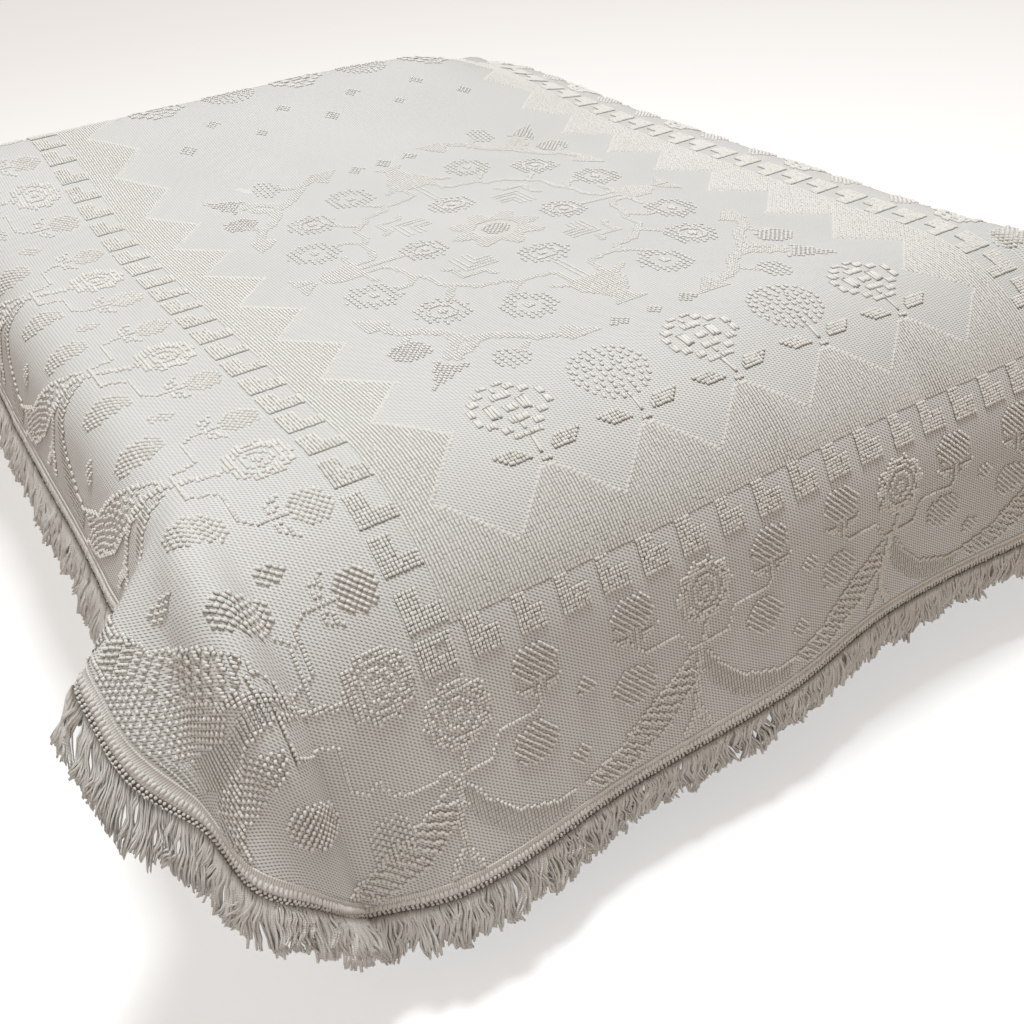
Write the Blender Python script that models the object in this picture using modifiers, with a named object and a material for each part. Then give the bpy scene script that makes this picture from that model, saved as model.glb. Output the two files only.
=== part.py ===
"""A chenille bedspread with a knotted fringe, draped over a plain mattress and bed base.

Metres, +Z up. The origin is at the centre of the base's underside, +X runs across the foot
of the bed and +Y towards its head. The spread is one thin sheet. Its flat points are carried
onto the bed by drape(): level on the top, round the edges, and down in leaning folds.
"""
import math

import bmesh
import bpy
import numpy as np

# The bed
MATTRESS_WIDTH = 1.40
MATTRESS_LENGTH = 1.90
MATTRESS_DEPTH = 0.25
BASE_HEIGHT = 0.35
BASE_INSET = 0.10
BASE_EDGE = 0.03
TOUCH_GAP = 0.0004

# The spread, laid flat, where its middle lies on the bed, and its corners' radii (x, y)
SPREAD_WIDTH = 1.80
SPREAD_LENGTH = 2.45
SPREAD_SHIFT_X = 0.0704
SPREAD_SHIFT_Y = -0.0584
SPREAD_THICKNESS = 0.003
FOOT_CORNER = (0.266, 0.332)
HEAD_CORNER = (0.03, 0.03)

# How the cloth stands off the mattress: resting on top, clear of it round the edges
TOP_GAP = 0.0005
EDGE_CLEARANCE = 0.006
CLOTH_TOP = BASE_HEIGHT + MATTRESS_DEPTH + TOUCH_GAP + TOP_GAP + SPREAD_THICKNESS / 2

# Edges of the bed, as the cloth goes over them: a soft slope, then a tighter round
# side: (slope radius, slope length, edge radius)
EDGES = {
    "left": (2.0, 0.0001, 0.076),
    "right": (2.0, 0.0001, 0.076),
    "foot": (0.29, 0.229, 0.244),
    "head": (0.60, 0.06, 0.08),
}

# The mattress top: a low swell near the head and a slight fall to the right
SWELL_HEIGHT = 0.095
SWELL_START_Y = 0.06
SWELL_CREST_Y = 0.60
SWELL_END_Y = 0.87
SWELL_FADE_X = (0.32, 0.74)
FALL_DEPTH = 0.016
FALL_X = (0.10, 0.52)

# How much of the foot's hang is taken up by puckering, from the middle to the right
TAKE_UP = 0.09
TAKE_UP_X = (-0.30, 0.60)

# Folds round each corner. station: metres along the bed's edge, 0 where the side ends and
# FAN_LENGTH where the end begins; tilt: degrees off the vertical; lean: degrees of sideways swing
FAN_LENGTH = 0.353
LEFT_FOOT = (
    # station, tilt, lean
    (-0.90, 15, 0),
    (-0.45, 17, 7),
    (-0.24, 19, 21),
    (-0.12, 23, 27),
    (0.00, 28, 26),
    (0.04, 37, 18),
    (0.08, 46, 11),
    (0.12, 58, -2),
    (0.16, 55, -5),
    (0.20, 44, -8),
    (0.24, 27, 4),
    (0.28, 28, 3),
    (0.32, 9, 9),
    (0.353, 8, 8),
    (0.47, 16, -5),
    (0.75, 10, -6),
    (1.00, 11, 0),
)
RIGHT_FOOT = (
    (-0.90, 14, 0),
    (-0.40, 10, 0),
    (-0.15, 20, 8),
    (0.00, 16, 4),
    (0.09, 44, 2),
    (0.18, 27, 0),
    (0.27, 38, 0),
    (0.353, 14, -4),
    (0.50, 5, -4),
    (0.72, 2, 0),
    (0.98, 11, 0),
)
LEFT_HEAD = (
    (-0.90, 15, 0),
    (-0.45, 11, 0),
    (-0.20, 18, 6),
    (0.00, 17, 4),
    (0.10, 42, 6),
    (0.19, 24, 0),
    (0.28, 38, -4),
    (0.353, 15, -4),
    (0.50, 9, 0),
    (0.80, 12, 0),
)
RIGHT_HEAD = (
    (-0.90, 14, 0),
    (-0.50, 17, 0),
    (-0.25, 12, 3),
    (0.00, 20, 3),
    (0.08, 34, 2),
    (0.17, 26, 0),
    (0.27, 36, -1),
    (0.353, 19, -2),
    (0.50, 11, 0),
    (0.80, 12, 0),
)
FOLDS = {(-1, -1): LEFT_FOOT, (1, -1): RIGHT_FOOT, (-1, 1): LEFT_HEAD, (1, 1): RIGHT_HEAD}
SIDE_NAMES = {-1: "left", 1: "right"}
END_NAMES = {-1: "foot", 1: "head"}

# The fringe: a heading strip round both sides and the foot, and the locks that hang from it
STRIP_GAP = 0.0016
STRIP_WIDTH = 0.015
STRIP_THICKNESS = 0.002
LOCK_LENGTH = 0.064
LOCK_PITCH = 0.026
LOCK_TIP_WIDTH = 0.5
LOCK_TIP_DEPTH = 2.2
LOCK_FALL = 0.65

# Grid spacing: cells across the top, and down each side over its slope, edge and hang
TOP_CELLS_X = 11
TOP_CELLS_Y = 14
SIDE_CELLS = {"left": (0, 4, 3), "right": (0, 4, 3), "foot": (4, 4, 5), "head": (1, 4, 3)}
EDGE_CELLS = 4


def clear_scene():
    for leftover in list(bpy.data.objects):
        bpy.data.objects.remove(leftover, do_unlink=True)


def make_material(name, colour, roughness):
    material = bpy.data.materials.new(name)
    material.use_nodes = True
    shader = material.node_tree.nodes["Principled BSDF"]
    shader.inputs["Base Color"].default_value = (*colour, 1)
    shader.inputs["Roughness"].default_value = roughness
    shader.inputs["Metallic"].default_value = 0
    return material


def edge_run(edge, finish_tilt):
    """How far out an edge carries the cloth before it hangs, for a tilt in radians."""
    slope_radius, slope_length, edge_radius = EDGES[edge]
    slope_angle = slope_length / slope_radius
    hang_angle = math.pi / 2 - finish_tilt
    run = slope_radius * math.sin(slope_angle)
    return run + edge_radius * (math.sin(hang_angle) - math.sin(slope_angle))


def bend_start(edge):
    """Distance from the bed's middle to where the cloth starts to bend over an edge."""
    half = MATTRESS_WIDTH / 2 if edge in ("left", "right") else MATTRESS_LENGTH / 2
    return half + EDGE_CLEARANCE + SPREAD_THICKNESS / 2 - edge_run(edge, 0)


START = {edge: bend_start(edge) for edge in EDGES}


def hem_reach(edge):
    """Distance from the bed's middle to a hem of the flat cloth."""
    if edge in ("left", "right"):
        sign = -1 if edge == "left" else 1
        return SPREAD_WIDTH / 2 + sign * SPREAD_SHIFT_X
    sign = -1 if edge == "foot" else 1
    return SPREAD_LENGTH / 2 + sign * SPREAD_SHIFT_Y


REACH = {edge: hem_reach(edge) for edge in EDGES}


def follow(rows, column, station):
    """A table's column read smoothly between its stations."""
    stations = np.array([row[0] for row in rows])
    values = np.array([row[column] for row in rows], float)
    slopes = np.gradient(values, stations)
    slopes[0] = slopes[-1] = 0
    at = np.clip(station, stations[0], stations[-1])
    left = np.clip(np.searchsorted(stations, at) - 1, 0, len(stations) - 2)
    span = stations[left + 1] - stations[left]
    t = (at - stations[left]) / span
    rise = values[left + 1] - values[left]
    ease = t * t * (3 - 2 * t)
    return (
        values[left]
        + rise * ease
        + span * (t * (1 - t) ** 2 * slopes[left] - t * t * (1 - t) * slopes[left + 1])
    )


def ease_between(value, low, high):
    t = np.clip((value - low) / (high - low), 0, 1)
    return t * t * (3 - 2 * t)


def top_height(x, y):
    """Height of the cloth above its level middle, from the swell and the fall of the top."""
    climb = np.clip((y - SWELL_START_Y) / (SWELL_CREST_Y - SWELL_START_Y), 0, 1)
    swell = SWELL_HEIGHT * (1.5 * climb**2 - 0.5 * climb**6)
    swell = swell * (1 - ease_between(y, SWELL_CREST_Y, SWELL_END_Y))
    swell = swell * (1 - ease_between(x, *SWELL_FADE_X))
    return swell - FALL_DEPTH * ease_between(x, *FALL_X)


def run_over_edge(arc, tilt, slope_radius, slope_length, edge_radius):
    """(run, hanging run, drop, slope angle) after an arc length past the start of the bend."""
    slope_angle = slope_length / slope_radius
    hang_angle = np.maximum(math.pi / 2 - tilt, slope_angle)
    edge_length = (hang_angle - slope_angle) * edge_radius
    on_slope = np.clip(arc, 0, slope_length) / slope_radius
    run = slope_radius * np.sin(on_slope)
    drop = slope_radius * (1 - np.cos(on_slope))
    on_edge = slope_angle + np.clip(arc - slope_length, 0, edge_length) / edge_radius
    run = run + edge_radius * (np.sin(on_edge) - np.sin(slope_angle))
    drop = drop + edge_radius * (np.cos(slope_angle) - np.cos(on_edge))
    hanging = np.maximum(arc - slope_length - edge_length, 0)
    drop = drop + hanging * np.sin(hang_angle)
    angle = np.where(arc < slope_length, on_slope, on_edge)
    return run, hanging * np.cos(hang_angle), drop, angle


def corner_share(fan, side_run, end_run):
    """How far a corner's ray takes after the end's edge, so that the corner is an ellipse."""
    reach = side_run * end_run / np.hypot(end_run * np.cos(fan), side_run * np.sin(fan))
    return (reach - side_run) / (end_run - side_run)


def corner_frame(x, y, side_sign, end_sign):
    """Where flat points lie round one corner: arc past the bend, fan angle, station and root."""
    side, end = SIDE_NAMES[side_sign], END_NAMES[end_sign]
    past_side = x * side_sign - START[side]
    past_end = y * end_sign - START[end]
    out_side, out_end = np.maximum(past_side, 0), np.maximum(past_end, 0)
    arc = np.hypot(out_side, out_end)
    fan = np.arctan2(out_end, np.where((out_side == 0) & (out_end == 0), 1, out_side))
    station = FAN_LENGTH * fan / (math.pi / 2)
    station = np.where(past_end <= 0, past_end, station)
    station = np.where((past_side <= 0) & (past_end > 0), FAN_LENGTH - past_side, station)
    root_x = START[side] + np.minimum(past_side, 0)
    root_y = START[end] + np.minimum(past_end, 0)
    return arc, fan, station, root_x, root_y


def drape(x, y, bare=False, sink=0.0):
    """Carries flat points onto the bed. bare leaves the folds out, as the mattress lies, and
    sink sets the surface in towards the mattress."""
    x, y = np.asarray(x, float), np.asarray(y, float)
    placed = np.zeros((*x.shape, 3))
    for (side_sign, end_sign), rows in FOLDS.items():
        here = ((x < 0) == (side_sign < 0)) & ((y < 0) == (end_sign < 0))
        if not here.any():
            continue
        arc, fan, station, root_x, root_y = corner_frame(x[here], y[here], side_sign, end_sign)
        side, end = SIDE_NAMES[side_sign], END_NAMES[end_sign]
        share = corner_share(fan, edge_run(side, 0), edge_run(end, 0))
        sizes = [a + (b - a) * share for a, b in zip(EDGES[side], EDGES[end])]
        tilt = np.zeros_like(arc) if bare else np.radians(follow(rows, 1, station))
        lean = np.zeros_like(arc) if bare else np.radians(follow(rows, 2, station))
        if end_sign < 0 and not bare:
            arc = arc * (1 - TAKE_UP * share * ease_between(side_sign * root_x, *TAKE_UP_X))
        run, hanging, drop, angle = run_over_edge(arc, tilt, *sizes)
        inset = TOP_GAP + SPREAD_THICKNESS / 2 + sink * ease_between(arc, 0, 0.06)
        if bare:
            run = run - inset * np.sin(angle)
            drop = drop + inset * np.cos(angle)
        swung = fan + lean
        placed_x = side_sign * (root_x + run * np.cos(fan) + hanging * np.cos(swung))
        placed_y = end_sign * (root_y + run * np.sin(fan) + hanging * np.sin(swung))
        height = CLOTH_TOP - drop + top_height(side_sign * root_x, end_sign * root_y)
        placed[here] = np.stack([placed_x, placed_y, height], axis=-1)
    return placed


def side_lines(edge):
    """Flat distances of a side's grid lines from the bed's middle, from its bend to the hem."""
    slope_cells, edge_cells, hang_cells = SIDE_CELLS[edge]
    slope_length = EDGES[edge][1]
    lines = [START[edge] + slope_length * (i + 1) / slope_cells for i in range(slope_cells)]
    edge_start = START[edge] + slope_length * bool(slope_cells)
    hang_start = START[edge] + edge_arc(edge)
    lines += [
        edge_start + (hang_start - edge_start) * (i + 1) / edge_cells for i in range(edge_cells)
    ]
    lines += [
        hang_start + (REACH[edge] - hang_start) * (i + 1) / hang_cells for i in range(hang_cells)
    ]
    return np.array(lines)


def edge_arc(edge):
    """Length of the cloth from the start of its bend to where it hangs."""
    slope_radius, slope_length, edge_radius = EDGES[edge]
    return slope_length + (math.pi / 2 - slope_length / slope_radius) * edge_radius


def grid_lines(low, high, top_cells):
    """Flat positions of the grid lines from one hem to the other."""
    top = np.linspace(-START[low], START[high], top_cells + 1)
    return np.concatenate([-side_lines(low)[::-1], top, side_lines(high)])


def round_corner(x, y):
    """Draws the flat grid's corners in to the cloth's outline, an arc of an ellipse at each."""
    x, y = x.copy(), y.copy()
    for side_sign, side in SIDE_NAMES.items():
        for end_sign, end in END_NAMES.items():
            radius_x, radius_y = FOOT_CORNER if end == "foot" else HEAD_CORNER
            past_side = x * side_sign - START[side]
            past_end = y * end_sign - START[end]
            here = (past_side > 0) & (past_end > 0)
            reach_side, reach_end = REACH[side] - START[side], REACH[end] - START[end]
            distance = np.hypot(past_side, past_end)[here]
            ray_x, ray_y = past_side[here] / distance, past_end[here] / distance
            square = np.minimum(reach_side / ray_x, reach_end / ray_y)
            centre_x, centre_y = reach_side - radius_x, reach_end - radius_y
            square_term = (ray_x / radius_x) ** 2 + (ray_y / radius_y) ** 2
            cross_term = ray_x * centre_x / radius_x**2 + ray_y * centre_y / radius_y**2
            rest = (centre_x / radius_x) ** 2 + (centre_y / radius_y) ** 2 - 1
            spare = np.maximum(cross_term**2 - square_term * rest, 0)
            arc = (cross_term + np.sqrt(spare)) / square_term
            on_arc = (arc * ray_x > centre_x) & (arc * ray_y > centre_y)
            limit = np.where(on_arc, arc, square)
            scale = 1 - (1 - limit / square) * (distance / square) ** 2
            x[here] = side_sign * (START[side] + past_side[here] * scale)
            y[here] = end_sign * (START[end] + past_end[here] * scale)
    return x, y


def grid_mesh(bm, columns, rows, points):
    """A bmesh grid of columns by rows cells whose vertices sit at points[row, column]."""
    bmesh.ops.create_grid(bm, x_segments=columns, y_segments=rows, size=1)
    for vertex in bm.verts:
        column = round((vertex.co.x + 1) / 2 * columns)
        row = round((vertex.co.y + 1) / 2 * rows)
        vertex.co = points[row, column]


def finish_object(name, bm, material, collection):
    """Turns a bmesh into a smooth-shaded object."""
    mesh = bpy.data.meshes.new(name)
    bm.to_mesh(mesh)
    bm.free()
    mesh.materials.append(material)
    mesh.shade_smooth()
    piece = bpy.data.objects.new(name, mesh)
    collection.objects.link(piece)
    return piece


def flat_grid():
    """Flat points of the spread's grid, corners rounded, as (x, y) arrays of [row, column]."""
    lines_x = grid_lines("left", "right", TOP_CELLS_X)
    lines_y = grid_lines("foot", "head", TOP_CELLS_Y)
    x, y = np.meshgrid(lines_x, lines_y)
    return round_corner(x, y)


def build_spread(collection):
    x, y = flat_grid()
    bm = bmesh.new()
    grid_mesh(bm, x.shape[1] - 1, x.shape[0] - 1, drape(x, y))
    piece = finish_object(
        "bedspread", bm, make_material("woven_cotton", (0.80, 0.78, 0.73), 0.9), collection
    )
    shell = piece.modifiers.new("cloth", "SOLIDIFY")
    shell.thickness = SPREAD_THICKNESS
    shell.offset = 0
    return piece


def hem_walk():
    """Flat hem points in order, from near the left head corner round the foot to the right."""
    x, y = flat_grid()
    left = [(x[row, 0], y[row, 0]) for row in range(x.shape[0] - 2, 0, -1)]
    foot = [(x[0, column], y[0, column]) for column in range(x.shape[1])]
    right = [(x[row, -1], y[row, -1]) for row in range(1, x.shape[0] - 1)]
    return np.array(left + foot + right)


def hem_outward(walk):
    """Unit flat normals of the hem, pointing away from the cloth."""
    along = np.gradient(walk, axis=0)
    along[0], along[-1] = walk[1] - walk[0], walk[-1] - walk[-2]
    outward = np.stack([along[:, 1], -along[:, 0]], axis=-1)
    return outward / np.linalg.norm(outward, axis=-1, keepdims=True)


def between(points, counts):
    """Splits each run between points into its count of equal steps, on the straight chord."""
    split = [
        points[i] + (points[i + 1] - points[i]) * step / count
        for i, count in enumerate(counts)
        for step in range(count)
    ]
    return np.array(split + [points[-1]])


def across(points, towards):
    """Unit normals of a strip that runs through points and widens towards other points."""
    along = np.gradient(points, axis=0)
    normal = np.cross(towards - points, along)
    return normal / np.linalg.norm(normal, axis=-1, keepdims=True)


def build_fringe(collection):
    """A four-sided strip round the hem, with a lock drawn down from each face of its lower rim."""
    walk = hem_walk()
    outward = hem_outward(walk)
    upper = walk + outward * STRIP_GAP
    lower = walk + outward * (STRIP_GAP + STRIP_WIDTH)
    upper = drape(upper[:, 0], upper[:, 1])
    lower = drape(lower[:, 0], lower[:, 1])
    normal = across(upper, lower) * STRIP_THICKNESS / 2
    steps = np.linalg.norm(np.diff(lower, axis=0), axis=1)
    counts = [max(1, round(step / LOCK_PITCH)) for step in steps]
    section = (upper + normal, lower + normal, lower - normal, upper - normal, upper + normal)
    points = np.stack([between(row, counts) for row in section])
    bm = bmesh.new()
    columns = points.shape[1] - 1
    grid_mesh(bm, columns, 4, points)
    lower_rim = [face for face in bm.faces if rim_column(face, points) is not None]
    lower_rim.sort(key=lambda face: rim_column(face, points))
    fall = unit(between(lower, counts) - between(upper, counts))
    locks = bmesh.ops.extrude_discrete_faces(bm, faces=lower_rim)["faces"]
    for index, lock in enumerate(locks):
        hang_lock(lock, index, fall[index] + fall[index + 1])
    bmesh.ops.remove_doubles(bm, verts=bm.verts, dist=1e-6)
    bmesh.ops.holes_fill(bm, edges=[edge for edge in bm.edges if edge.is_boundary])
    bmesh.ops.recalc_face_normals(bm, faces=bm.faces)
    material = make_material("fringe_cotton", (0.76, 0.74, 0.69), 0.95)
    return finish_object("fringe", bm, material, collection)


def unit(vectors):
    return vectors / np.linalg.norm(vectors, axis=-1, keepdims=True)


def rim_column(face, points):
    """The column of a face on the strip's lower rim, or None for the other faces."""
    columns = []
    for vertex in face.verts:
        place = np.array(vertex.co)
        for row in (1, 2):
            near = np.abs(points[row] - place).max(axis=1) < 1e-6
            if near.any():
                columns.append(int(near.argmax()))
    return min(columns) if len(columns) == 4 else None


def hang_lock(lock, index, along_strip):
    """Moves a lock's end face down from the strip, narrower, with its own length and sway."""
    root = np.array(lock.calc_center_median())
    corners = {vertex: np.array(vertex.co) - root for vertex in lock.verts}
    edges = sorted(lock.edges, key=lambda edge: edge.calc_length())
    wide = np.array(edges[-1].verts[1].co - edges[-1].verts[0].co)
    wide = wide / np.linalg.norm(wide)
    down = unit(unit(along_strip) * (1 - LOCK_FALL) + np.array([0, 0, -LOCK_FALL]))
    length = LOCK_LENGTH * (1 + 0.10 * math.sin(1.7 * index) - 0.06 * math.sin(4.3 * index))
    sway = wide * 0.006 * math.sin(2.9 * index)
    for vertex, offset in corners.items():
        along = wide * np.dot(offset, wide)
        depth = offset - along
        vertex.co = root + along * LOCK_TIP_WIDTH + depth * LOCK_TIP_DEPTH + down * length + sway


def mattress_lines(low, high, top_cells):
    """Grid lines of the mattress: the spread's own across the top, then round each edge."""
    steps = np.linspace(0, 1, EDGE_CELLS + 1)[1:]
    low_lines = -START[low] - steps[::-1] * edge_arc(low)
    high_lines = START[high] + steps * edge_arc(high)
    top = np.linspace(-START[low], START[high], top_cells + 1)
    return np.concatenate([low_lines, top, high_lines])


def fan_corners(x, y):
    """Turns the grid's square corners into fans of rays of the edges' own lengths."""
    x, y = x.copy(), y.copy()
    for side_sign, side in SIDE_NAMES.items():
        for end_sign, end in END_NAMES.items():
            side_arc, end_arc = edge_arc(side), edge_arc(end)
            share_side = (x * side_sign - START[side]) / side_arc
            share_end = (y * end_sign - START[end]) / end_arc
            here = (share_side > 0) & (share_end > 0)
            share_side, share_end = share_side[here], share_end[here]
            fan = np.arctan2(share_end, share_side)
            length = side_arc + (end_arc - side_arc) * fan / (math.pi / 2)
            arc = length * np.maximum(share_side, share_end)
            x[here] = side_sign * (START[side] + arc * np.cos(fan))
            y[here] = end_sign * (START[end] + arc * np.sin(fan))
    return x, y


def build_mattress(collection):
    lines_x = mattress_lines("left", "right", TOP_CELLS_X)
    lines_y = mattress_lines("foot", "head", TOP_CELLS_Y)
    x, y = fan_corners(*np.meshgrid(lines_x, lines_y))
    bm = bmesh.new()
    points = drape(x, y, bare=True, sink=EDGE_CLEARANCE - TOP_GAP)
    grid_mesh(bm, x.shape[1] - 1, x.shape[0] - 1, points)
    rim = [edge for edge in bm.edges if edge.is_boundary]
    skirt = bmesh.ops.extrude_edge_only(bm, edges=rim)["geom"]
    for vertex in skirt:
        if isinstance(vertex, bmesh.types.BMVert):
            vertex.co.z = BASE_HEIGHT + TOUCH_GAP
    bmesh.ops.holes_fill(bm, edges=[edge for edge in bm.edges if edge.is_boundary])
    bmesh.ops.recalc_face_normals(bm, faces=bm.faces)
    material = make_material("mattress_ticking", (0.86, 0.85, 0.82), 0.85)
    return finish_object("mattress", bm, material, collection)


def build_base(collection):
    bm = bmesh.new()
    bmesh.ops.create_cube(bm, size=1)
    size = (MATTRESS_WIDTH - 2 * BASE_INSET, MATTRESS_LENGTH - 2 * BASE_INSET, BASE_HEIGHT)
    bmesh.ops.scale(bm, vec=size, verts=bm.verts)
    bmesh.ops.translate(bm, vec=(0, 0, BASE_HEIGHT / 2), verts=bm.verts)
    upright = [edge for edge in bm.edges if abs(edge.verts[0].co.z - edge.verts[1].co.z) > 0.1]
    bmesh.ops.bevel(
        bm, geom=upright, offset=BASE_EDGE, segments=4, profile=0.5, affect="EDGES", material=-1
    )
    material = make_material("base_cloth", (0.82, 0.81, 0.78), 0.9)
    return finish_object("bed_base", bm, material, collection)


def main():
    clear_scene()
    collection = bpy.data.collections.new("chenille_bedspread_on_bed")
    bpy.context.scene.collection.children.link(collection)
    build_base(collection)
    build_mattress(collection)
    build_spread(collection)
    build_fringe(collection)


main()
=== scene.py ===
"""The chenille bedspread on its bed: woven cloth, bobbles and knotted fringe, with floor, light and
camera. Metres, +Z up: +X runs across the foot of the bed and +Y towards its head."""

import math
from functools import partial

import bmesh
import bpy
import numpy as np
from mathutils import Matrix


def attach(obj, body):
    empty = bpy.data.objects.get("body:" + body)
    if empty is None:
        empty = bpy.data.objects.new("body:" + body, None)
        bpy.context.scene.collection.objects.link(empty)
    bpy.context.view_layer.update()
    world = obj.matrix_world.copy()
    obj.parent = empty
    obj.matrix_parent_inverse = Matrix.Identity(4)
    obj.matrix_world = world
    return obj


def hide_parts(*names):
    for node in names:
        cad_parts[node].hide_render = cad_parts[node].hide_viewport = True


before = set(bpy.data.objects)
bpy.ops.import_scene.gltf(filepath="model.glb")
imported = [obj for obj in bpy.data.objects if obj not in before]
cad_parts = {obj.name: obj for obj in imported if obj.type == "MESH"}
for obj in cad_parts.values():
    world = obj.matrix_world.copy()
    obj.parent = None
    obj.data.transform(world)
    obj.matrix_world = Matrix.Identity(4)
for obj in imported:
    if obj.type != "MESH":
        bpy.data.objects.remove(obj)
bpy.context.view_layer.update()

# The bed and the cloth, as built. The shift is where the cloth's middle lies on the bed, and the
# corners are the radii (x, y) of its outline
MATTRESS_WIDTH = 1.40
MATTRESS_LENGTH = 1.90
BED_HEIGHT = 0.6004
CLOTH_WIDTH = 1.80
CLOTH_LENGTH = 2.45
CLOTH_SHIFT_X = 0.0704
CLOTH_SHIFT_Y = -0.0584
CLOTH_THICKNESS = 0.003
FOOT_CORNER = (0.266, 0.332)
HEAD_CORNER = (0.03, 0.03)
TOP_GAP = 0.0005
EDGE_CLEARANCE = 0.006
CLOTH_TOP = BED_HEIGHT + TOP_GAP + CLOTH_THICKNESS / 2

# Edges of the bed, as the cloth goes over them: slope radius, slope length, edge radius
EDGES = {
    "left": (2.0, 0.0001, 0.076),
    "right": (2.0, 0.0001, 0.076),
    "foot": (0.29, 0.229, 0.244),
    "head": (0.60, 0.06, 0.08),
}

# The top: a low swell near the head and a slight fall to the right
SWELL_HEIGHT = 0.095
SWELL_START_Y = 0.06
SWELL_CREST_Y = 0.60
SWELL_END_Y = 0.87
SWELL_FADE_X = (0.32, 0.74)
FALL_DEPTH = 0.016
FALL_X = (0.10, 0.52)

# How much of the foot's hang is taken up by puckering, from the middle to the right
TAKE_UP = 0.09
TAKE_UP_X = (-0.30, 0.60)

# Folds round each corner (side, end), as rows of station, tilt and lean: metres along the bed's
# edge, 0 where the side ends and FAN_LENGTH where the end begins; degrees off the vertical; and
# degrees of sideways swing
FAN_LENGTH = 0.353
FOLDS = {
    (-1, -1): (
        (-0.90, 15, 0), (-0.45, 17, 7), (-0.24, 19, 21), (-0.12, 23, 27), (0.00, 28, 26),
        (0.04, 37, 18), (0.08, 46, 11), (0.12, 58, -2), (0.16, 55, -5), (0.20, 44, -8),
        (0.24, 27, 4), (0.28, 28, 3), (0.32, 9, 9), (0.353, 8, 8), (0.47, 16, -5),
        (0.75, 10, -6), (1.00, 11, 0),
    ),
    (1, -1): (
        (-0.90, 14, 0), (-0.40, 10, 0), (-0.15, 20, 8), (0.00, 16, 4), (0.09, 44, 2),
        (0.18, 27, 0), (0.27, 38, 0), (0.353, 14, -4), (0.50, 5, -4), (0.72, 2, 0),
        (0.98, 11, 0),
    ),
    (-1, 1): (
        (-0.90, 15, 0), (-0.45, 11, 0), (-0.20, 18, 6), (0.00, 17, 4), (0.10, 42, 6),
        (0.19, 24, 0), (0.28, 38, -4), (0.353, 15, -4), (0.50, 9, 0), (0.80, 12, 0),
    ),
    (1, 1): (
        (-0.90, 14, 0), (-0.50, 17, 0), (-0.25, 12, 3), (0.00, 20, 3), (0.08, 34, 2),
        (0.17, 26, 0), (0.27, 36, -1), (0.353, 19, -2), (0.50, 11, 0), (0.80, 12, 0),
    ),
}
TILT, LEAN = 1, 2
SIDE_NAMES = {-1: "left", 1: "right"}
END_NAMES = {-1: "foot", 1: "head"}

# Soft creases in the cloth: flat ends in metres, half width, height (a trough is below 0)
CREASES = (
    # x1, y1, x2, y2, width, height
    (-0.28, 0.62, -0.05, 0.20, 0.030, 0.0030),
    (-0.34, 0.50, -0.16, 0.16, 0.026, -0.0026),
    (0.10, -0.86, 0.06, -1.22, 0.040, 0.0035),
    (0.34, -0.88, 0.30, -1.20, 0.034, -0.0040),
    (-0.22, -0.92, -0.26, -1.24, 0.036, -0.0030),
    (-0.62, -0.30, -0.80, -0.34, 0.036, 0.0030),
    (-0.62, 0.10, -0.80, 0.16, 0.040, -0.0030),
)

# The design is drawn in repeats of the sawtooth border. One repeat in metres, and where 0, 0 lies
REPEAT = 0.1525
DESIGN_X = -0.395
DESIGN_Y = -0.832
FIELD_WIDTH = 6.0
FIELD_LENGTH = 10.0


# ---------------------------------------------------------------- how the cloth lies


def edge_run(edge, finish_tilt):
    """How far out the cloth goes over an edge of the bed before it hangs."""
    slope_radius, slope_length, edge_radius = EDGES[edge]
    slope_angle = slope_length / slope_radius
    hang_angle = math.pi / 2 - finish_tilt
    run = slope_radius * math.sin(slope_angle)
    return run + edge_radius * (math.sin(hang_angle) - math.sin(slope_angle))


def bend_start(edge):
    """Where the cloth begins to bend down, from the bed's middle."""
    half = MATTRESS_WIDTH / 2 if edge in ("left", "right") else MATTRESS_LENGTH / 2
    return half + EDGE_CLEARANCE + CLOTH_THICKNESS / 2 - edge_run(edge, 0)


def hem_reach(edge):
    """How far the flat cloth reaches, from the bed's middle."""
    if edge in ("left", "right"):
        return CLOTH_WIDTH / 2 + (-1 if edge == "left" else 1) * CLOTH_SHIFT_X
    return CLOTH_LENGTH / 2 + (-1 if edge == "foot" else 1) * CLOTH_SHIFT_Y


START = {edge: bend_start(edge) for edge in EDGES}
REACH = {edge: hem_reach(edge) for edge in EDGES}


def follow(rows, column, station):
    """A table's column read smoothly between its stations."""
    stations = np.array([row[0] for row in rows])
    values = np.array([row[column] for row in rows], float)
    slopes = np.gradient(values, stations)
    slopes[0] = slopes[-1] = 0
    at = np.clip(station, stations[0], stations[-1])
    left = np.clip(np.searchsorted(stations, at) - 1, 0, len(stations) - 2)
    span = stations[left + 1] - stations[left]
    t = (at - stations[left]) / span
    rise = values[left + 1] - values[left]
    ease = t * t * (3 - 2 * t)
    return (
        values[left]
        + rise * ease
        + span * (t * (1 - t) ** 2 * slopes[left] - t * t * (1 - t) * slopes[left + 1])
    )


def ease_between(value, low, high):
    """0 up to low, 1 from high on, and a smooth step between them."""
    t = np.clip((value - low) / (high - low), 0, 1)
    return t * t * (3 - 2 * t)


def top_height(x, y):
    """The swell and fall of the top, above or below its level part."""
    climb = np.clip((y - SWELL_START_Y) / (SWELL_CREST_Y - SWELL_START_Y), 0, 1)
    swell = SWELL_HEIGHT * (1.5 * climb**2 - 0.5 * climb**6)
    swell = swell * (1 - ease_between(y, SWELL_CREST_Y, SWELL_END_Y))
    swell = swell * (1 - ease_between(x, *SWELL_FADE_X))
    return swell - FALL_DEPTH * ease_between(x, *FALL_X)


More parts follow.
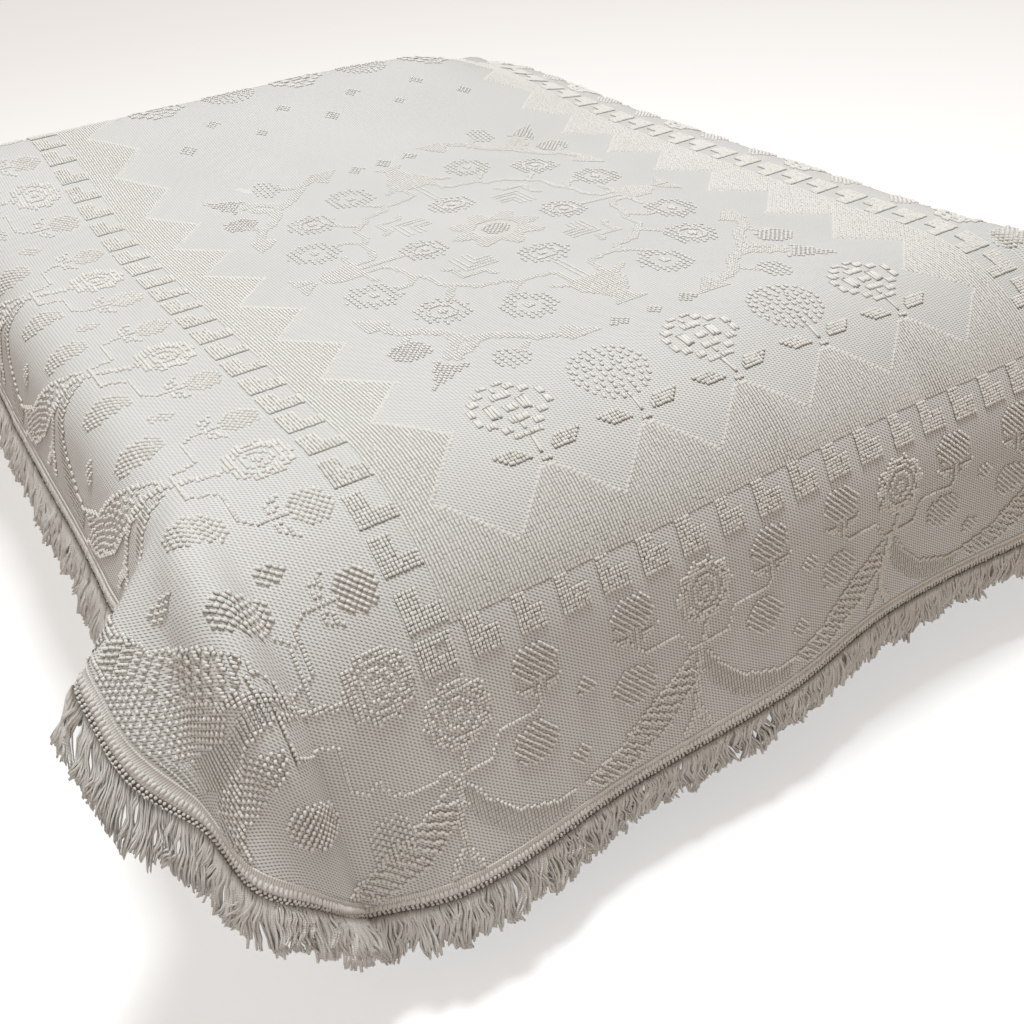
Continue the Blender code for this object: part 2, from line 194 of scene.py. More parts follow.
def run_over_edge(arc, tilt, slope_radius, slope_length, edge_radius):
    """(run, hanging run, drop) after an arc length past the start of the bend."""
    slope_angle = slope_length / slope_radius
    hang_angle = np.maximum(math.pi / 2 - tilt, slope_angle)
    edge_length = (hang_angle - slope_angle) * edge_radius
    on_slope = np.clip(arc, 0, slope_length) / slope_radius
    run = slope_radius * np.sin(on_slope)
    drop = slope_radius * (1 - np.cos(on_slope))
    on_edge = slope_angle + np.clip(arc - slope_length, 0, edge_length) / edge_radius
    run = run + edge_radius * (np.sin(on_edge) - np.sin(slope_angle))
    drop = drop + edge_radius * (np.cos(slope_angle) - np.cos(on_edge))
    hanging = np.maximum(arc - slope_length - edge_length, 0)
    return run, hanging * np.cos(hang_angle), drop + hanging * np.sin(hang_angle)


def corner_share(fan, side_run, end_run):
    """How much of the end's edge, against the side's, acts at an angle round the corner."""
    reach = side_run * end_run / np.hypot(end_run * np.cos(fan), side_run * np.sin(fan))
    return (reach - side_run) / (end_run - side_run)


def corner_frame(x, y, side_sign, end_sign):
    """Where flat points lie round one corner: arc past the bend, fan angle, station and root."""
    side, end = SIDE_NAMES[side_sign], END_NAMES[end_sign]
    past_side = x * side_sign - START[side]
    past_end = y * end_sign - START[end]
    out_side, out_end = np.maximum(past_side, 0), np.maximum(past_end, 0)
    arc = np.hypot(out_side, out_end)
    fan = np.arctan2(out_end, np.where((out_side == 0) & (out_end == 0), 1, out_side))
    station = FAN_LENGTH * fan / (math.pi / 2)
    station = np.where(past_end <= 0, past_end, station)
    station = np.where((past_side <= 0) & (past_end > 0), FAN_LENGTH - past_side, station)
    root_x = START[side] + np.minimum(past_side, 0)
    root_y = START[end] + np.minimum(past_end, 0)
    return arc, fan, station, root_x, root_y


def drape(x, y):
    """Carries flat points of the cloth's middle layer onto the bed."""
    placed = np.zeros((*x.shape, 3))
    for (side_sign, end_sign), rows in FOLDS.items():
        here = ((x < 0) == (side_sign < 0)) & ((y < 0) == (end_sign < 0))
        if not here.any():
            continue
        arc, fan, station, root_x, root_y = corner_frame(x[here], y[here], side_sign, end_sign)
        side, end = SIDE_NAMES[side_sign], END_NAMES[end_sign]
        share = corner_share(fan, edge_run(side, 0), edge_run(end, 0))
        sizes = [a + (b - a) * share for a, b in zip(EDGES[side], EDGES[end])]
        tilt = np.radians(follow(rows, TILT, station))
        lean = np.radians(follow(rows, LEAN, station))
        if end_sign < 0:
            arc = arc * (1 - TAKE_UP * share * ease_between(side_sign * root_x, *TAKE_UP_X))
        run, hanging, drop = run_over_edge(arc, tilt, *sizes)
        swung = fan + lean
        placed_x = side_sign * (root_x + run * np.cos(fan) + hanging * np.cos(swung))
        placed_y = end_sign * (root_y + run * np.sin(fan) + hanging * np.sin(swung))
        height = CLOTH_TOP - drop + top_height(side_sign * root_x, end_sign * root_y)
        placed[here] = np.stack([placed_x, placed_y, height], axis=-1)
    return placed


def crease_height(x, y):
    """How far the soft creases lift or lower the flat points."""
    height = np.zeros_like(x)
    for x1, y1, x2, y2, width, rise in CREASES:
        along_x, along_y = x2 - x1, y2 - y1
        length = math.hypot(along_x, along_y)
        t = ((x - x1) * along_x + (y - y1) * along_y) / length**2
        off = ((x - x1) * along_y - (y - y1) * along_x) / length
        fade = ease_between(t, -0.15, 0.3) * (1 - ease_between(t, 0.7, 1.15))
        height += rise * fade * np.exp(-((off / width) ** 2))
    return height


def unit(vectors):
    return vectors / np.linalg.norm(vectors, axis=-1, keepdims=True)


def lay(x, y, height=0.0):
    """(points, across, along, outward) of flat points, lifted off the cloth's middle layer."""
    step = 0.002
    x, y = np.asarray(x, float), np.asarray(y, float)
    across = unit(drape(x + step, y) - drape(x - step, y))
    along = unit(drape(x, y + step) - drape(x, y - step))
    outward = unit(np.cross(across, along))
    lift = crease_height(x, y) + height
    points = drape(x, y) + outward * lift[..., None]
    return points, across, np.cross(outward, across), outward


def corner_limit(ray_x, ray_y, side, end):
    """How far the cloth, and its square outline, reach along rays from where both bends start."""
    radius_x, radius_y = FOOT_CORNER if end == "foot" else HEAD_CORNER
    reach_side, reach_end = REACH[side] - START[side], REACH[end] - START[end]
    square = np.minimum(reach_side / np.maximum(ray_x, 1e-9), reach_end / np.maximum(ray_y, 1e-9))
    centre_x, centre_y = reach_side - radius_x, reach_end - radius_y
    square_term = (ray_x / radius_x) ** 2 + (ray_y / radius_y) ** 2
    cross_term = ray_x * centre_x / radius_x**2 + ray_y * centre_y / radius_y**2
    rest = (centre_x / radius_x) ** 2 + (centre_y / radius_y) ** 2 - 1
    arc = (cross_term + np.sqrt(np.maximum(cross_term**2 - square_term * rest, 0))) / square_term
    on_arc = (arc * ray_x > centre_x) & (arc * ray_y > centre_y)
    return np.where(on_arc, arc, square), square


def corner_rays(x, y):
    """For each corner: (sign, name, distance past the bend) of its side and of its end, which
    points those are, how far out they lie, and the cloth's and its square outline's reach there."""
    for side_sign, side in SIDE_NAMES.items():
        for end_sign, end in END_NAMES.items():
            past_side, past_end = x * side_sign - START[side], y * end_sign - START[end]
            here = (past_side > 0) & (past_end > 0)
            past_side, past_end = past_side[here], past_end[here]
            far = np.hypot(past_side, past_end)
            limit, square = corner_limit(past_side / far, past_end / far, side, end)
            yield (side_sign, side, past_side), (end_sign, end, past_end), here, far, limit, square


def round_corner(x, y):
    """Draws a square flat grid's corners in to the cloth's outline."""
    x, y = x.copy(), y.copy()
    for of_side, of_end, here, far, limit, square in corner_rays(x, y):
        scale = 1 - (1 - limit / square) * (far / square) ** 2
        for grid, (sign, name, past) in ((x, of_side), (y, of_end)):
            grid[here] = sign * (START[name] + past * scale)
    return x, y


def hem_distance(x, y):
    """About how far flat points lie inside the cloth's hem."""
    distance = np.minimum(
        np.minimum(x + REACH["left"], REACH["right"] - x),
        np.minimum(y + REACH["foot"], REACH["head"] - y),
    )
    for _, _, here, far, limit, _ in corner_rays(x, y):
        distance[here] = np.minimum(distance[here], limit - far)
    return distance


# ---------------------------------------------------------------- the design

# Threads to a repeat across and along; the side borders lie slack, so their threads stand wider
THREADS_ACROSS, THREADS_ALONG, THREADS_SLACK = 33, 31, 26
SLACK_COLUMN = THREADS_ACROSS
MIDDLE_U, MIDDLE_V = FIELD_WIDTH / 2, FIELD_LENGTH / 2


def column_of(u):
    """The thread column at a distance across, in repeats."""
    over = np.maximum(np.maximum(-1 - u, u - FIELD_WIDTH - 1), 0)
    side = np.where(u < MIDDLE_U, -1, 1)
    return (u - side * over) * THREADS_ACROSS + side * over * THREADS_SLACK


def across_of(column):
    """The distance across, in repeats, of a thread column."""
    far = FIELD_WIDTH * THREADS_ACROSS + SLACK_COLUMN
    over = np.maximum(np.maximum(-SLACK_COLUMN - column, column - far), 0)
    side = np.where(column < far / 2, -1, 1)
    return (column - side * over) / THREADS_ACROSS + side * over / THREADS_SLACK


def thread_lattice():
    """The crossings where a bobble can stand, as thread columns and rows."""
    low = math.ceil(column_of((-REACH["left"] - DESIGN_X) / REPEAT))
    high = math.floor(column_of((REACH["right"] - DESIGN_X) / REPEAT))
    first = math.ceil((-REACH["foot"] - DESIGN_Y) / REPEAT * THREADS_ALONG)
    last = math.floor((REACH["head"] - DESIGN_Y) / REPEAT * THREADS_ALONG)
    return np.meshgrid(np.arange(low, high + 1), np.arange(first, last + 1))


COLUMN, ROW = thread_lattice()
U, V = across_of(COLUMN), ROW / THREADS_ALONG
CHECKER = (COLUMN + ROW) % 2 == 0
BRICK = (COLUMN % 2 == 0) & ((ROW + COLUMN // 2) % 2 == 0)
NONE = np.zeros(U.shape, bool)


def chain(mask, points, thick=1):
    """Marks a line of crossings through points, thick crossings wide."""
    points = np.array(points, float)
    columns, rows = column_of(points[:, 0]), points[:, 1] * THREADS_ALONG
    for start in range(len(points) - 1):
        steps = max(abs(np.diff(columns)[start]), abs(np.diff(rows)[start]))
        count = int(steps.round()) + 1
        across = np.round(np.linspace(columns[start], columns[start + 1], count)) - COLUMN[0, 0]
        along = np.round(np.linspace(rows[start], rows[start + 1], count)) - ROW[0, 0]
        for right in range(thick):
            for up in range(thick):
                i, j = (along + up).astype(int), (across + right).astype(int)
                inside = (i >= 0) & (i < mask.shape[0]) & (j >= 0) & (j < mask.shape[1])
                mask[i[inside], j[inside]] = True


def ring(cu, cv, ru, rv, waves=0, swing=0.0, steps=64):
    """Points round an oval whose rim waves in and out."""
    turn = np.linspace(0, 2 * math.pi, steps + 1)
    reach = 1 + swing * np.cos(waves * turn)
    return np.stack([cu + ru * reach * np.cos(turn), cv + rv * reach * np.sin(turn)], -1)


def from_middle(cu, cv, ru, rv):
    """How far crossings lie from an oval's middle, 1 on its rim."""
    return np.hypot((U - cu) / ru, (V - cv) / rv)


def inside_outline(points):
    """True inside a closed outline."""
    found = NONE.copy()
    for (u1, v1), (u2, v2) in zip(points, points[1:] + points[:1]):
        if v1 == v2:
            continue
        crosses = (V >= min(v1, v2)) & (V < max(v1, v2))
        found ^= crosses & (U < u1 + (V - v1) / (v2 - v1) * (u2 - u1))
    return found


def mirrored(value, length):
    """A distance measured from the nearer end."""
    return np.where(value > length / 2, length - value, value)


# Where the border's parts end, in repeats outside the field: the dense band, then the blocks
SIDE_BAND, SIDE_BLOCKS = 0.29, 0.61
FOOT_BAND, FOOT_BLOCKS = 0.93, 1.25
# The sawtooth: its teeth's length, and how far outside the field they start at foot and head
TOOTH = 0.5
TOOTH_START = 0.05
# The stepped blocks are drawn in cells: so many to a repeat, and so many from block to block
CELLS_ACROSS, CELLS_ALONG, BLOCK_CELLS = 30, 28, 12


def stepped_blocks(run, depth, pillar, bar, bar_from, deep):
    """Blocks with one step: pillar cells wide, and bar cells wide from a depth on."""
    step = run % BLOCK_CELLS
    return ((step < pillar) | (step < bar) & (depth > bar_from)) & (depth >= 0) & (depth < deep)


def sawtooth_rim():
    """The line of bobbles along the teeth, on all four sides."""
    rim = NONE.copy()
    for tip in range(int(FIELD_WIDTH)):
        for base, turn in ((0.0, 1), (FIELD_LENGTH, -1)):
            foot = base - TOOTH_START * turn
            point = base - (TOOTH_START + TOOTH) * turn
            chain(rim, [(tip, foot), (tip + 0.5, point), (tip + 1, foot)])
    for tip in range(int(FIELD_LENGTH)):
        for base, turn in ((0.0, 1), (FIELD_WIDTH, -1)):
            chain(rim, [(base, tip), (base + TOOTH * turn, tip + 0.5), (base, tip + 1)])
    return rim


def border_parts():
    """(dense band, stepped blocks, bright rim of the sawtooth)."""
    u, v = mirrored(U, FIELD_WIDTH), mirrored(V, FIELD_LENGTH)
    side_line = TOOTH * (1 - np.abs(2 * (V % 1) - 1))
    foot_line = -TOOTH_START - TOOTH * (1 - np.abs(2 * (U % 1) - 1))
    inner = (u < side_line) & (v > -0.02) | (v < foot_line) | (u < 0)
    band = inner & (u > -SIDE_BAND) & (v > -FOOT_BAND)
    foot_depth, side_depth = (-FOOT_BAND - v) * CELLS_ALONG, (-SIDE_BAND - u) * CELLS_ACROSS
    foot_blocks = stepped_blocks(U * CELLS_ACROSS + 5.5, foot_depth, 4, 8, 3.6, 9)
    side_blocks = stepped_blocks(V * CELLS_ALONG + 0.5, side_depth, 4, 9, 4.6, 9.5)
    blocks = foot_blocks & (u > -SIDE_BAND) | side_blocks & (v > -FOOT_BAND)
    corner = (u <= -SIDE_BAND - 0.02) & (v <= -FOOT_BAND - 0.03)
    corner &= (u > -SIDE_BLOCKS) & (v > -FOOT_BLOCKS)
    notch = (np.abs(u + 0.42) < 0.055) & (np.abs(v + 1.06) < 0.055)
    rim = sawtooth_rim()
    return band & ~rim, blocks | corner & ~notch, rim


# The outer border is drawn as (s, w): along it from a station, and out from its blocks. From
# SLACK_START out the slack sides reach further for the same drawing
SLACK_START, SLACK_STRETCH = 0.4, 0.37


def side_reach(depth):
    return SIDE_BLOCKS + depth + SLACK_STRETCH * max(depth - SLACK_START, 0)


SIDES = {
    # side: (where (s, w) lies as (u, v), stations of its flowers)
    "foot": (lambda s, w: (s, -FOOT_BLOCKS - w), (-0.43, 1.95, 4.22, 6.50)),
    "left": (lambda s, w: (-side_reach(w), -s), (1.13, -1.07, -3.40, -5.72, -8.05, -10.35)),
    "right": (
        lambda s, w: (FIELD_WIDTH + side_reach(w), s),
        (-1.13, 1.10, 3.40, 5.72, 8.05, 10.35),
    ),
    "head": (lambda s, w: (-s, FIELD_LENGTH + FOOT_BLOCKS + w), (-6.43, -4.18, -1.82, 0.43)),
}

STEMS = (
    ((0, 0.62), (-0.04, 0.72), (-0.10, 0.92)),
    ((0.03, 0.62), (-0.01, 0.72), (-0.06, 0.86)),
)
BUD_STEM = (
    (0.72, 0.40), (0.71, 0.60), (0.62, 0.66), (0.30, 0.66), (0.24, 0.74), (0.20, 0.84),
)
BUD_STEM_END = (-0.08, 0.85)
SMALL_BUDS = ((1.13, 0.66), (0.98, 1.25))
LEAF_UPPER = ((-0.04, 0.93), (0.08, 1.15), (0.30, 1.37), (0.60, 1.50), (0.86, 1.54))
LEAF_LOWER = ((-0.14, 1.04), (0.00, 1.32), (0.22, 1.56), (0.45, 1.67), (0.80, 1.70))
LADDER_UPPER = ((-1.40, 1.52), (-1.02, 1.42), (-0.67, 1.19), (-0.20, 0.90))
LADDER_LOWER = ((-1.34, 1.70), (-0.97, 1.66), (-0.52, 1.46), (-0.10, 1.09))
LADDER_RUNGS = 17
TENDRILS = (
    ((-0.12, 0.92), (-0.20, 1.20), (-0.22, 1.46), (-0.36, 1.64)),
    ((-0.22, 1.46), (-0.12, 1.64)),
)

# The corners' own motifs, as (u, v) at the left foot corner
CORNER_VINES = (
    ((-0.57, -2.18), (-0.60, -2.04), (-1.00, -2.07), (-1.12, -2.00), (-1.15, -1.86),
     (-1.28, -1.92), (-1.38, -1.83), (-1.38, -1.45), (-1.50, -1.39), (-1.80, -1.44)),
    ((-1.80, -1.44), (-1.80, -1.14), (-1.48, -1.04), (-1.44, -0.62), (-1.55, -0.53)),
)
CORNER_OVALS = ((-1.83, -1.99, 0.32, 0.21), (-1.18, -2.42, 0.19, 0.26))
CORNER_LEAF = (
    (-1.86, -1.34), (-2.30, -1.32), (-2.62, -1.44), (-2.60, -1.76), (-2.20, -1.70), (-1.92, -1.56),
)
BEADED_LEAF = (
    (-2.86, 0.04), (-2.62, -0.10), (-2.54, -0.42), (-2.38, -0.72), (-2.12, -1.00),
    (-2.28, -1.12), (-2.66, -0.96), (-2.84, -0.66), (-2.90, -0.34),
)
RIBBED_PATCH = (
    (-2.88, -0.66), (-2.70, -0.96), (-2.28, -1.12), (-2.22, -1.28),
    (-2.52, -1.34), (-2.80, -1.16), (-2.90, -0.90),
)


def owned_sides():
    """Which part of the outer border belongs to each side, split along the corners' diagonals."""
    side = {"left": -SIDE_BLOCKS - U, "right": U - FIELD_WIDTH - SIDE_BLOCKS}
    depth = {
        name: np.where(
            far > SLACK_START, SLACK_START + (far - SLACK_START) / (1 + SLACK_STRETCH), far
        )
        for name, far in side.items()
    }
    depth.update(foot=-FOOT_BLOCKS - V, head=V - FIELD_LENGTH - FOOT_BLOCKS)
    deepest = np.maximum.reduce(list(depth.values()))
    return {name: (far == deepest) & (far > -0.02) for name, far in depth.items()}


# Rings of a border flower: half width, half height, waves, how far they swing
FLOWER_RINGS = ((0.265, 0.265, 10, 0.08), (0.195, 0.20, 0, 0), (0.115, 0.12, 0, 0))


def border_flower(lines, cu, cv):
    """The round flower: a scalloped rim and two rings in lines, a full eye and short rays."""
    for ru, rv, waves, swing in FLOWER_RINGS:
        chain(lines, ring(cu, cv, ru, rv, waves, swing))
    lines |= from_middle(cu, cv, 0.045, 0.05) < 1
    rays = np.floor(np.arctan2(V - cv, U - cu) / math.pi * 10 + 0.5) % 2 == 0
    between = (from_middle(cu, cv, 0.265, 0.265) < 1) & (from_middle(cu, cv, 0.2, 0.2) > 1)
    lines |= between & rays


def border_unit(side, station, lines, dots, fills):
    """One flower of the outer border with its stems, leaves and buds, the hatched leaf below it
    and the ladder that climbs to the next flower."""
    place, stations = SIDES[side]

    def spots(points):
        return [place(station + s, w) for s, w in points]

    def oval(s, w, size):
        """Wide enough on each side to hang as round as it is tall."""
        wide = 1.15 if side in ("foot", "head") else 1 + SLACK_STRETCH if w > 0.6 else 1
        return from_middle(*spots([(s, w)])[0], size * wide, size)

    def between(line, share):
        even = np.linspace(0, 1, len(line))
        return [np.interp(share, even, [point[axis] for point in line]) for axis in (0, 1)]

    border_flower(lines, *spots([(0, 0.36)])[0])
    for turn in (-1, 1):
        if station == (min(stations) if turn < 0 else max(stations)):
            continue
        dots |= (oval(0.72 * turn, 0.25, 0.175) < 1) & CHECKER
        for wing in (-1, 1):
            tips = ((0.06, 0.51), (0.14, 0.50), (0.21, 0.42)), ((0.07, 0.47), (0.15, 0.45))
            for tip in tips:
                chain(lines, spots([(0.72 * turn + s * wing, w) for s, w in tip]))
        chain(lines, spots([(s * turn, w) for s, w in BUD_STEM] + [BUD_STEM_END]))
        dots |= (oval(0.60 if turn > 0 else -0.78, 0.91, 0.17) < 1.05) & CHECKER
    if station != max(stations):
        for s, w in SMALL_BUDS:
            dots |= (oval(s, w, 0.085) < 1) & CHECKER
    for line in (*STEMS, LEAF_UPPER, LADDER_UPPER, LADDER_LOWER):
        chain(lines, spots(line))
    fills |= inside_outline(spots(LEAF_UPPER + LEAF_LOWER[::-1]))
    for share in np.linspace(0.0, 0.88, LADDER_RUNGS):
        rung = between(LADDER_UPPER, share), between(LADDER_LOWER, share + 0.13)
        chain(dots, spots(rung))
    for line in TENDRILS:
        chain(lines, spots(line), 2)


def turned(turn_u, turn_v, points):
    """Points of the left foot corner, carried to another corner."""
    return [
        (FIELD_WIDTH - u if turn_u else u, FIELD_LENGTH - v if turn_v else v) for u, v in points
    ]


def corner_motifs(carried, strung, dotted, fine):
    """The vines, ovals and leaf of one corner, and the long beaded leaf and ribbed patch beside
    its hem. carried takes points of the left foot corner to this one."""
    for line in CORNER_VINES:
        chain(strung, carried(line))
    for cu, cv, ru, rv in CORNER_OVALS:
        strung |= (from_middle(*carried([(cu, cv)])[0], ru, rv) < 1) & CHECKER
    strung |= inside_outline(carried(CORNER_LEAF)) & CHECKER
    leaf = inside_outline(carried(BEADED_LEAF))
    patch = inside_outline(carried(RIBBED_PATCH)) & ~leaf
    for mask in (strung, dotted, fine):
        mask &= ~(leaf | patch)
    strung |= leaf & CHECKER
    fine |= patch


def outer_motifs():
    """(strung, dotted, fine): bobbles in lines, big slanted dots and fine filling of the outer
    border."""
    strung, dotted, fine = NONE.copy(), NONE.copy(), NONE.copy()
    owned = owned_sides()
    for side, (_, stations) in SIDES.items():
        drawn = NONE.copy(), NONE.copy(), NONE.copy()
        for station in stations:
            border_unit(side, station, *drawn)
        for mask, part in zip((strung, dotted, fine), drawn):
            mask |= part & owned[side]
    for turn_u in (False, True):
        for turn_v in (False, True):
            corner_motifs(partial(turned, turn_u, turn_v), strung, dotted, fine)
    return strung, dotted & ~strung, fine & ~strung & ~dotted


def block(mask, cu, cv, wide, tall):
    """Marks a small block of crossings about a point."""
    column = np.round(column_of(cu) - wide / 2 + 0.5)
    row = np.round(cv * THREADS_ALONG - tall / 2 + 0.5)
    mask |= (COLUMN >= column) & (COLUMN < column + wide) & (ROW >= row) & (ROW < row + tall)


def ribs_in(cu, cv, wide, tall):
    """Upright raised ribs, one to a thread column, that fill a small block: (u, v, half length)."""
    first = np.round(column_of(cu) - wide / 2 + 0.5)
    return [(float(across_of(first + index)), cv, tall / 2) for index in range(wide)]


# The ribbed flower's blocks about its middle: (u, v, ribs, height), then those on both sides
FLOWER_BLOCKS = (
    (0.02, -0.01, 4, 0.095), (0, 0.16, 6, 0.095), (0, -0.15, 6, 0.085),
    (0, 0.26, 1, 0.09), (0, -0.24, 1, 0.08),
)
FLOWER_SIDE_BLOCKS = (
    (0.15, 0, 3, 0.19), (0.075, 0.335, 3, 0.06), (0.155, 0.255, 3, 0.095), (0.245, 0.165, 3, 0.095),
    (0.325, 0.065, 2, 0.115), (0.335, -0.06, 2, 0.115), (0.245, -0.14, 3, 0.085),
    (0.155, -0.235, 3, 0.08), (0.075, -0.325, 4, 0.055),
)


def block_flower(cu, cv):
    """A flower of ribbed blocks: two rings of them round a small eye, alike on both sides."""
    ribs = []
    for a, b, wide, tall in FLOWER_BLOCKS:
        ribs += ribs_in(cu + a, cv + b, wide, tall)
    for side in (-1, 1):
        for a, b, wide, tall in FLOWER_SIDE_BLOCKS:
            ribs += ribs_in(cu + a * side, cv + b, wide, tall)
    return ribs


def dot_flower(cu, cv):
    """A flower of short ribs in close rings."""
    ribs = []
    for reach, count in ((0.345, 26), (0.285, 20), (0.22, 16), (0.15, 11), (0.085, 6)):
        for turn in (np.arange(count) + 0.5 * (count % 4 > 1)) * 2 * math.pi / count:
            ribs += ribs_in(cu + reach * math.cos(turn), cv + reach * math.sin(turn), 1, 0.058)
    return ribs + ribs_in(cu, cv, 2, 0.05)


def dash_flower(mask, cu, cv, ru, rv, eye):
    """A flower of slanted dashes, with a line or more dashes in a ring round its middle."""
    far = from_middle(cu, cv, ru, rv)
    turn = np.arctan2(V - cv, U - cu)
    mask |= (far < 0.97 + 0.06 * np.cos(10 * turn)) & (far > 0.62) & BRICK
    if eye:
        chain(mask, ring(cu, cv, ru * 0.48, rv * 0.48))
    else:
        mask |= (far > 0.46) & (far < 0.64) & BRICK
    mask |= far < 0.17


def flower_rows(leaves):
    """The ribs of the five flowers at the foot and at the head, with their stems and leaves."""
    ribs = []
    for index in range(5):
        cu = index + 1.02
        flower = block_flower if index % 2 == 0 else dot_flower
        for base, up in ((0.0, 1), (FIELD_LENGTH, -1)):
            ribs += flower(cu + 0.02, base + 0.57 * up)
            ribs += ribs_in(cu, base + 0.13 * up, 1, 0.20)
            block(leaves, cu, base - 0.04 * up, 3, 1)
            for side in (-1, 1):
                leaf = ((0.09, 0.02), (0.31, 0.02), (0.43, 0.15), (0.21, 0.15))
                leaves |= inside_outline([(cu + side * s, base + w * up) for s, w in leaf])
    return ribs


DIAMONDS = (
    (2.62, 1.2), (3.0, 1.2), (3.38, 1.2), (2.62, 6.78), (3.0, 6.78), (3.38, 6.78),
    (1.5, 8.62), (2.5, 8.62), (3.5, 8.62), (4.5, 8.62),
    (1.0, 8.2), (2.0, 8.2), (3.0, 8.2), (4.0, 8.2), (5.0, 8.2),
)

# One quarter of the medallion, from its middle. Its head end is drawn a little longer
MEDALLION_U, MEDALLION_V, HEAD_STRETCH = MIDDLE_U - 0.02, 4.0, 1.05
DASH_FLOWERS = (
    # u, v, half width, half height, a line round the eye
    (0.0, 0.95, 0.29, 0.27, True),
    (0.88, 0.0, 0.26, 0.29, True),
    (1.50, 1.50, 0.28, 0.31, True),
    (0.80, 1.94, 0.28, 0.32, False),
    (1.84, 0.72, 0.29, 0.32, False),
)
BUDS = ((2.14, 2.06, 0.20, 0.19, CHECKER), (1.50, 2.76, 0.17, 0.21, BRICK))
NESTED_CORNERS = (0.82, 0.82 - 0.065, 0.82 - 0.13, 0.82 - 0.195)
VINES = (
    ((1.00, 0.64), (0.93, 0.70), (0.95, 0.95), (0.70, 0.95), (0.66, 1.05)),
    ((0.60, 1.43), (0.68, 1.28), (0.92, 1.27), (1.04, 1.12), (1.18, 1.00), (1.22, 0.94),
     (1.24, 0.68), (1.33, 0.56), (1.37, 0.25), (1.46, 0.12), (1.62, 0.12)),
    ((1.33, 0.58), (1.44, 0.72), (1.56, 0.75)),
    ((1.12, 1.08), (1.24, 1.20), (1.30, 1.30)),
    ((0.18, 1.75), (0.20, 1.52), (0.30, 1.44), (0.56, 1.42), (0.72, 1.52), (0.80, 1.62)),
    ((1.12, 0.0), (1.64, 0.0)),
    ((1.68, 0.18), (1.66, 0.38)),
    ((0.26, 1.86), (0.40, 1.75)),
)
MIDDLE_STEM = ((0.03, 1.22), (0.03, 1.75))
SIDE_LEAF = ((1.64, -0.02), (1.64, 0.20), (1.98, 0.16), (2.10, 0.05), (2.10, -0.02))
LEAF_TIP = ((2.14, 0.02), (2.36, 0.26), (2.36, 0.02))
URN = (
    (-0.02, 1.75), (0.25, 1.75), (0.27, 2.02), (0.12, 2.26), (0.08, 2.38), (0.19, 2.49),
    (-0.02, 2.49),
)
# The spray at the quarter's corner, alike about its diagonal: lines with their thickness
SPRAY_CORNER = (2.1, 2.65)
SPRAY_LINES = (
    (((-0.04, 1.14), (0.06, 0.95), (0.20, 0.86), (0.36, 0.68), (0.37, 0.47), (0.22, 0.34),
      (0.22, 0.16)), 3),
    (((0.37, 0.50), (0.52, 0.46), (0.62, 0.42)), 2),
    (((0.05, 0.84), (-0.06, 0.74)), 2),
)
SPRAY_END = ((-0.17, 1.55), (-0.17, 1.20), (-0.02, 1.16), (0.13, 1.28))
SPRAY_LEAF = ((-0.20, -0.22), (0.04, 0.30), (0.12, 0.12), (0.30, 0.04))


def medallion_quarter(side, end, dash, dense):
    """One quarter of the medallion, in dashes and dense lines."""
    stretch = 1.0 if end < 0 else HEAD_STRETCH

    def spots(points):
        return [(MEDALLION_U + side * a, MEDALLION_V + end * b * stretch) for a, b in points]

    def spray(points, swapped):
        corner_a, corner_b = SPRAY_CORNER
        if swapped:
            points = [(q, p) for p, q in points]
        return spots([(corner_a - p, corner_b - q) for p, q in points])

    for a, b, ru, rv, eye in DASH_FLOWERS:
        dash_flower(dash, *spots([(a, b)])[0], ru, rv, eye)
    for a, b, ru, rv, grid in BUDS:
        dash |= (from_middle(*spots([(a, b)])[0], ru, rv) < 1) & grid
    for corner in NESTED_CORNERS:
        chain(dense, spots([(corner, 0.46), (corner, corner), (0.46, corner)]))
    for line in VINES:
        chain(dense, spots(line), 2)
    chain(dense, spots(MIDDLE_STEM))
    for outline in (SIDE_LEAF, LEAF_TIP, URN):
        dense |= inside_outline(spots(outline))
    for swapped in (False, True):
        for line, thick in SPRAY_LINES:
            chain(dense, spray(line, swapped), thick)
        dense |= inside_outline(spray(SPRAY_END, swapped))
    dash |= inside_outline(spray(SPRAY_LEAF, True)) & CHECKER


def field_motifs():
    """(dashes, dense, leaves, ribs) of the field: the flower rows, diamonds and medallion."""
    dash, dense, leaves = NONE.copy(), NONE.copy(), NONE.copy()
    ribs = flower_rows(leaves)
    for u, v in DIAMONDS:
        dash |= (np.abs(U - u) + np.abs(V - v) < 0.115) & CHECKER
    for side in (-1, 1):
        for end in (-1, 1):
            medallion_quarter(side, end, dash, dense)
    # the eight-lobed star in the middle
    a, b = U - MIDDLE_U + 0.02, V - MEDALLION_V
    far = np.hypot(a, b)
    dense |= (far < 0.45 + 0.085 * np.cos(8 * np.arctan2(b, a))) & (far > 0.25)
    dash |= (far < 0.16) & CHECKER
    return dash, dense & ~dash, leaves, np.array(ribs)


# ---------------------------------------------------------------- meshes


def new_piece(name, mesh, material):
    """An object that rides on the bed, with its faces smooth."""
    mesh.materials.append(material)
    mesh.shade_smooth()
    piece = bpy.data.objects.new(name, mesh)
    bpy.context.scene.collection.objects.link(piece)
    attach(piece, "root")
    return piece


def mesh_of(name, bm):
    mesh = bpy.data.meshes.new(name)
    bm.to_mesh(mesh)
    bm.free()
    return mesh


